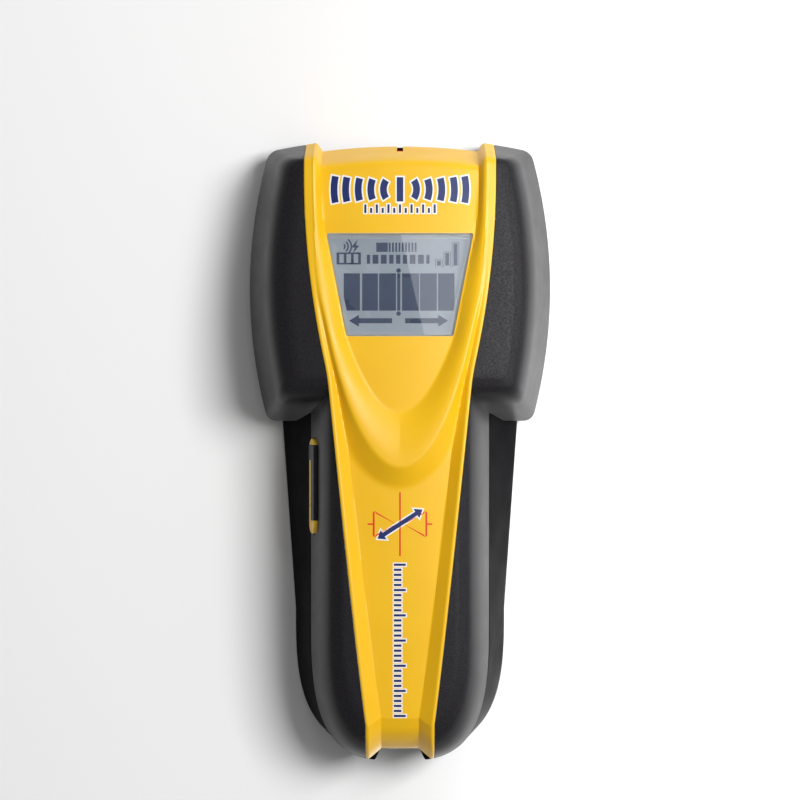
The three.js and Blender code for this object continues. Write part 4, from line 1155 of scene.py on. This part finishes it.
LABEL_Z = (0.1, 0.3)
label = prism("rating_label_fine", rounded_rectangle(15.4, 40.6, 61.4, 1.2), *LABEL_Z)
finish_piece(label, LABEL, "casing", "label_silver", "rating_label")
label_print = frame_outlines(-14.6, 14.6, 41.4, 60.6, 0.3)
label_print += frame_outlines(-12.4, -5.2, 44.4, 55.4, 0.4)
label_print += [rectangle(x - 0.9, x + 0.9, 55.4, 56.4) for x in (-10.6, -7)]
label_print += signs(-7, -10.6, 53, 0.9, 0.35)
for i in range(16):
    x = -1.6 + 0.9 * i
    label_print.append(rectangle(x, x + 0.25 + 0.2 * (i % 3), 44.4, 50.4))
label_print += [rectangle(-1.6, 12.4, y, y + 0.5) for y in (52.6, 54.4, 56.2)]
label_marks = flat_pieces("label_print", label_print, LABEL_Z[0] - 0.04, LABEL_Z[0] - 0.005)
finish_piece(label_marks, BLACK, "casing", "black_plastic")

# ------ button pad

# Black grip on the button: it leaves the yellow bar's low edge and both of its ends showing.
pad = button_bar("button_pad", 0.07, button_face(0.1), -21.5, 0.3)
pad_extent = join(block("pad_extent", -30, -20, -19.2, 1.9, 22.2, 30),
                  block("finger_rest", -30, -20, -2.4, 1.9, 18, 23))
combine(pad, [pad_extent], "INTERSECT")
finish_piece(shade(pad), CHARCOAL, "power_button", "charcoal_grip")

# ------ carried-over CAD nodes

# Each look, and what is in the names of the CAD nodes that have it.
NODE_LOOKS = [
    (STEEL, "screw", "timing_crystal", "switch_plunger", "battery_terminal"),
    (COMPONENT, "controller_chip", "supply_capacitor", "piezo_buzzer", "board_header", "switch_body",
     "battery_snap_connector"),
    (BOARD, "main_circuit_board", "sensor_board"), (COPPER, "sensor_plate"), (LENS_RED, "pointer_"),
    (WINDOW, "display_window"), (GASKET, "display_gasket"), (LCD, "lcd_panel"), (BLACK, "lcd_carrier"),
    (RUBBER, "zebra_strip"), (RED_WIRE, "battery_lead_red"), (BLACK_WIRE, "battery_lead_black"),
    (FOAM, "battery_foam_pad"),
]
for name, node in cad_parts.items():
    for look, *words in NODE_LOOKS:
        if any(word in name for word in words):
            node.data.materials.clear()
            node.data.materials.append(look)

# ------ floor, lights and camera

FLOOR_Z = -0.02
CAMERA_HEIGHT = 900 * MM
CAMERA_Y = 14.4 * MM
VIEW_WIDTH = 224 * MM  # seen at 20 mm above the floor
CAMERA_REACH = 880 * MM



def floor_white():
    """Nearly white floor that is clear from below, so that it doesn't hide the underside."""
    s = Shader("floor_white")
    s.set(Base_Color=s.blend(s.noise(3, 2), (0.93, 0.93, 0.93, 1), (0.95, 0.95, 0.95, 1)),
          Roughness=s.ramp(s.noise(8, 2), 0.85, 0.9))
    one_sided = s.add("ShaderNodeMixShader")
    s.feed(one_sided.inputs[0], s.add("ShaderNodeNewGeometry").outputs["Backfacing"])
    s.feed(one_sided.inputs[1], s.surface.outputs[0])
    s.feed(one_sided.inputs[2], s.add("ShaderNodeBsdfTransparent").outputs[0])
    s.feed(s.tree.nodes["Material Output"].inputs[0], one_sided.outputs[0])
    return s.material


floor = mesh_object("floor", [(x, y, FLOOR_Z) for x, y in rectangle(-900, 900, -900, 900)], [[0, 1, 2, 3]])
floor.data.materials.append(floor_white())


def area_light(name, place, target, size, power):
    """White rectangular lamp at a place in metres, turned to its target."""
    light = bpy.data.lights.new(name, "AREA")
    light.shape = "RECTANGLE"
    light.size, light.size_y = size
    light.energy = power
    lamp = bpy.data.objects.new(name, light)
    bpy.context.scene.collection.objects.link(lamp)
    lamp.location = place
    lamp.rotation_euler = (Vector(target) - Vector(place)).to_track_quat("-Z", "Y").to_euler()
    return lamp


area_light("key_light", (0.6, 0.25, 1.0), (0, 0, 0), (0.46, 0.46), 13.2)
floor_light = area_light("floor_light", (0.135, 0.02, 0.3), (0.135, 0.02, 0), (0.07, 0.26), 0.22)
floor_light.data.spread = math.radians(50)
area_light("head_light", (0.1, 1.1, 0.35), (0, 0.05, 0.02), (1.0, 0.35), 2)
under_light = area_light("under_light", (0.2, -0.2, -0.8), (0, 0, 0), (0.5, 0.5), 7)
under_light.data.use_shadow = False  # the floor doesn't keep it off the underside

# A card above the window's mirror direction: its left edge makes the slanting sheen on the display.
card = area_light("sheen_card", (0.0475, 0.1601, 0.6), (0, 0, 0), (0.08, 0.09), 0.04)
card.rotation_euler = (0, 0, math.radians(12.9))

world = bpy.data.worlds.new("studio")
world.use_nodes = True
backdrop = world.node_tree.nodes["Background"]
backdrop.inputs["Color"].default_value = (1, 1, 1, 1)
backdrop.inputs["Strength"].default_value = 0.2
bpy.context.scene.world = world
bpy.context.scene.view_settings.view_transform = "Standard"

camera_data = bpy.data.cameras.new("camera")
camera_data.lens = camera_data.sensor_width / (VIEW_WIDTH / CAMERA_REACH)
camera_data.clip_start = 0.01
camera = bpy.data.objects.new("camera", camera_data)
camera.location = (0, CAMERA_Y, CAMERA_HEIGHT)
bpy.context.scene.collection.objects.link(camera)
bpy.context.scene.camera = camera
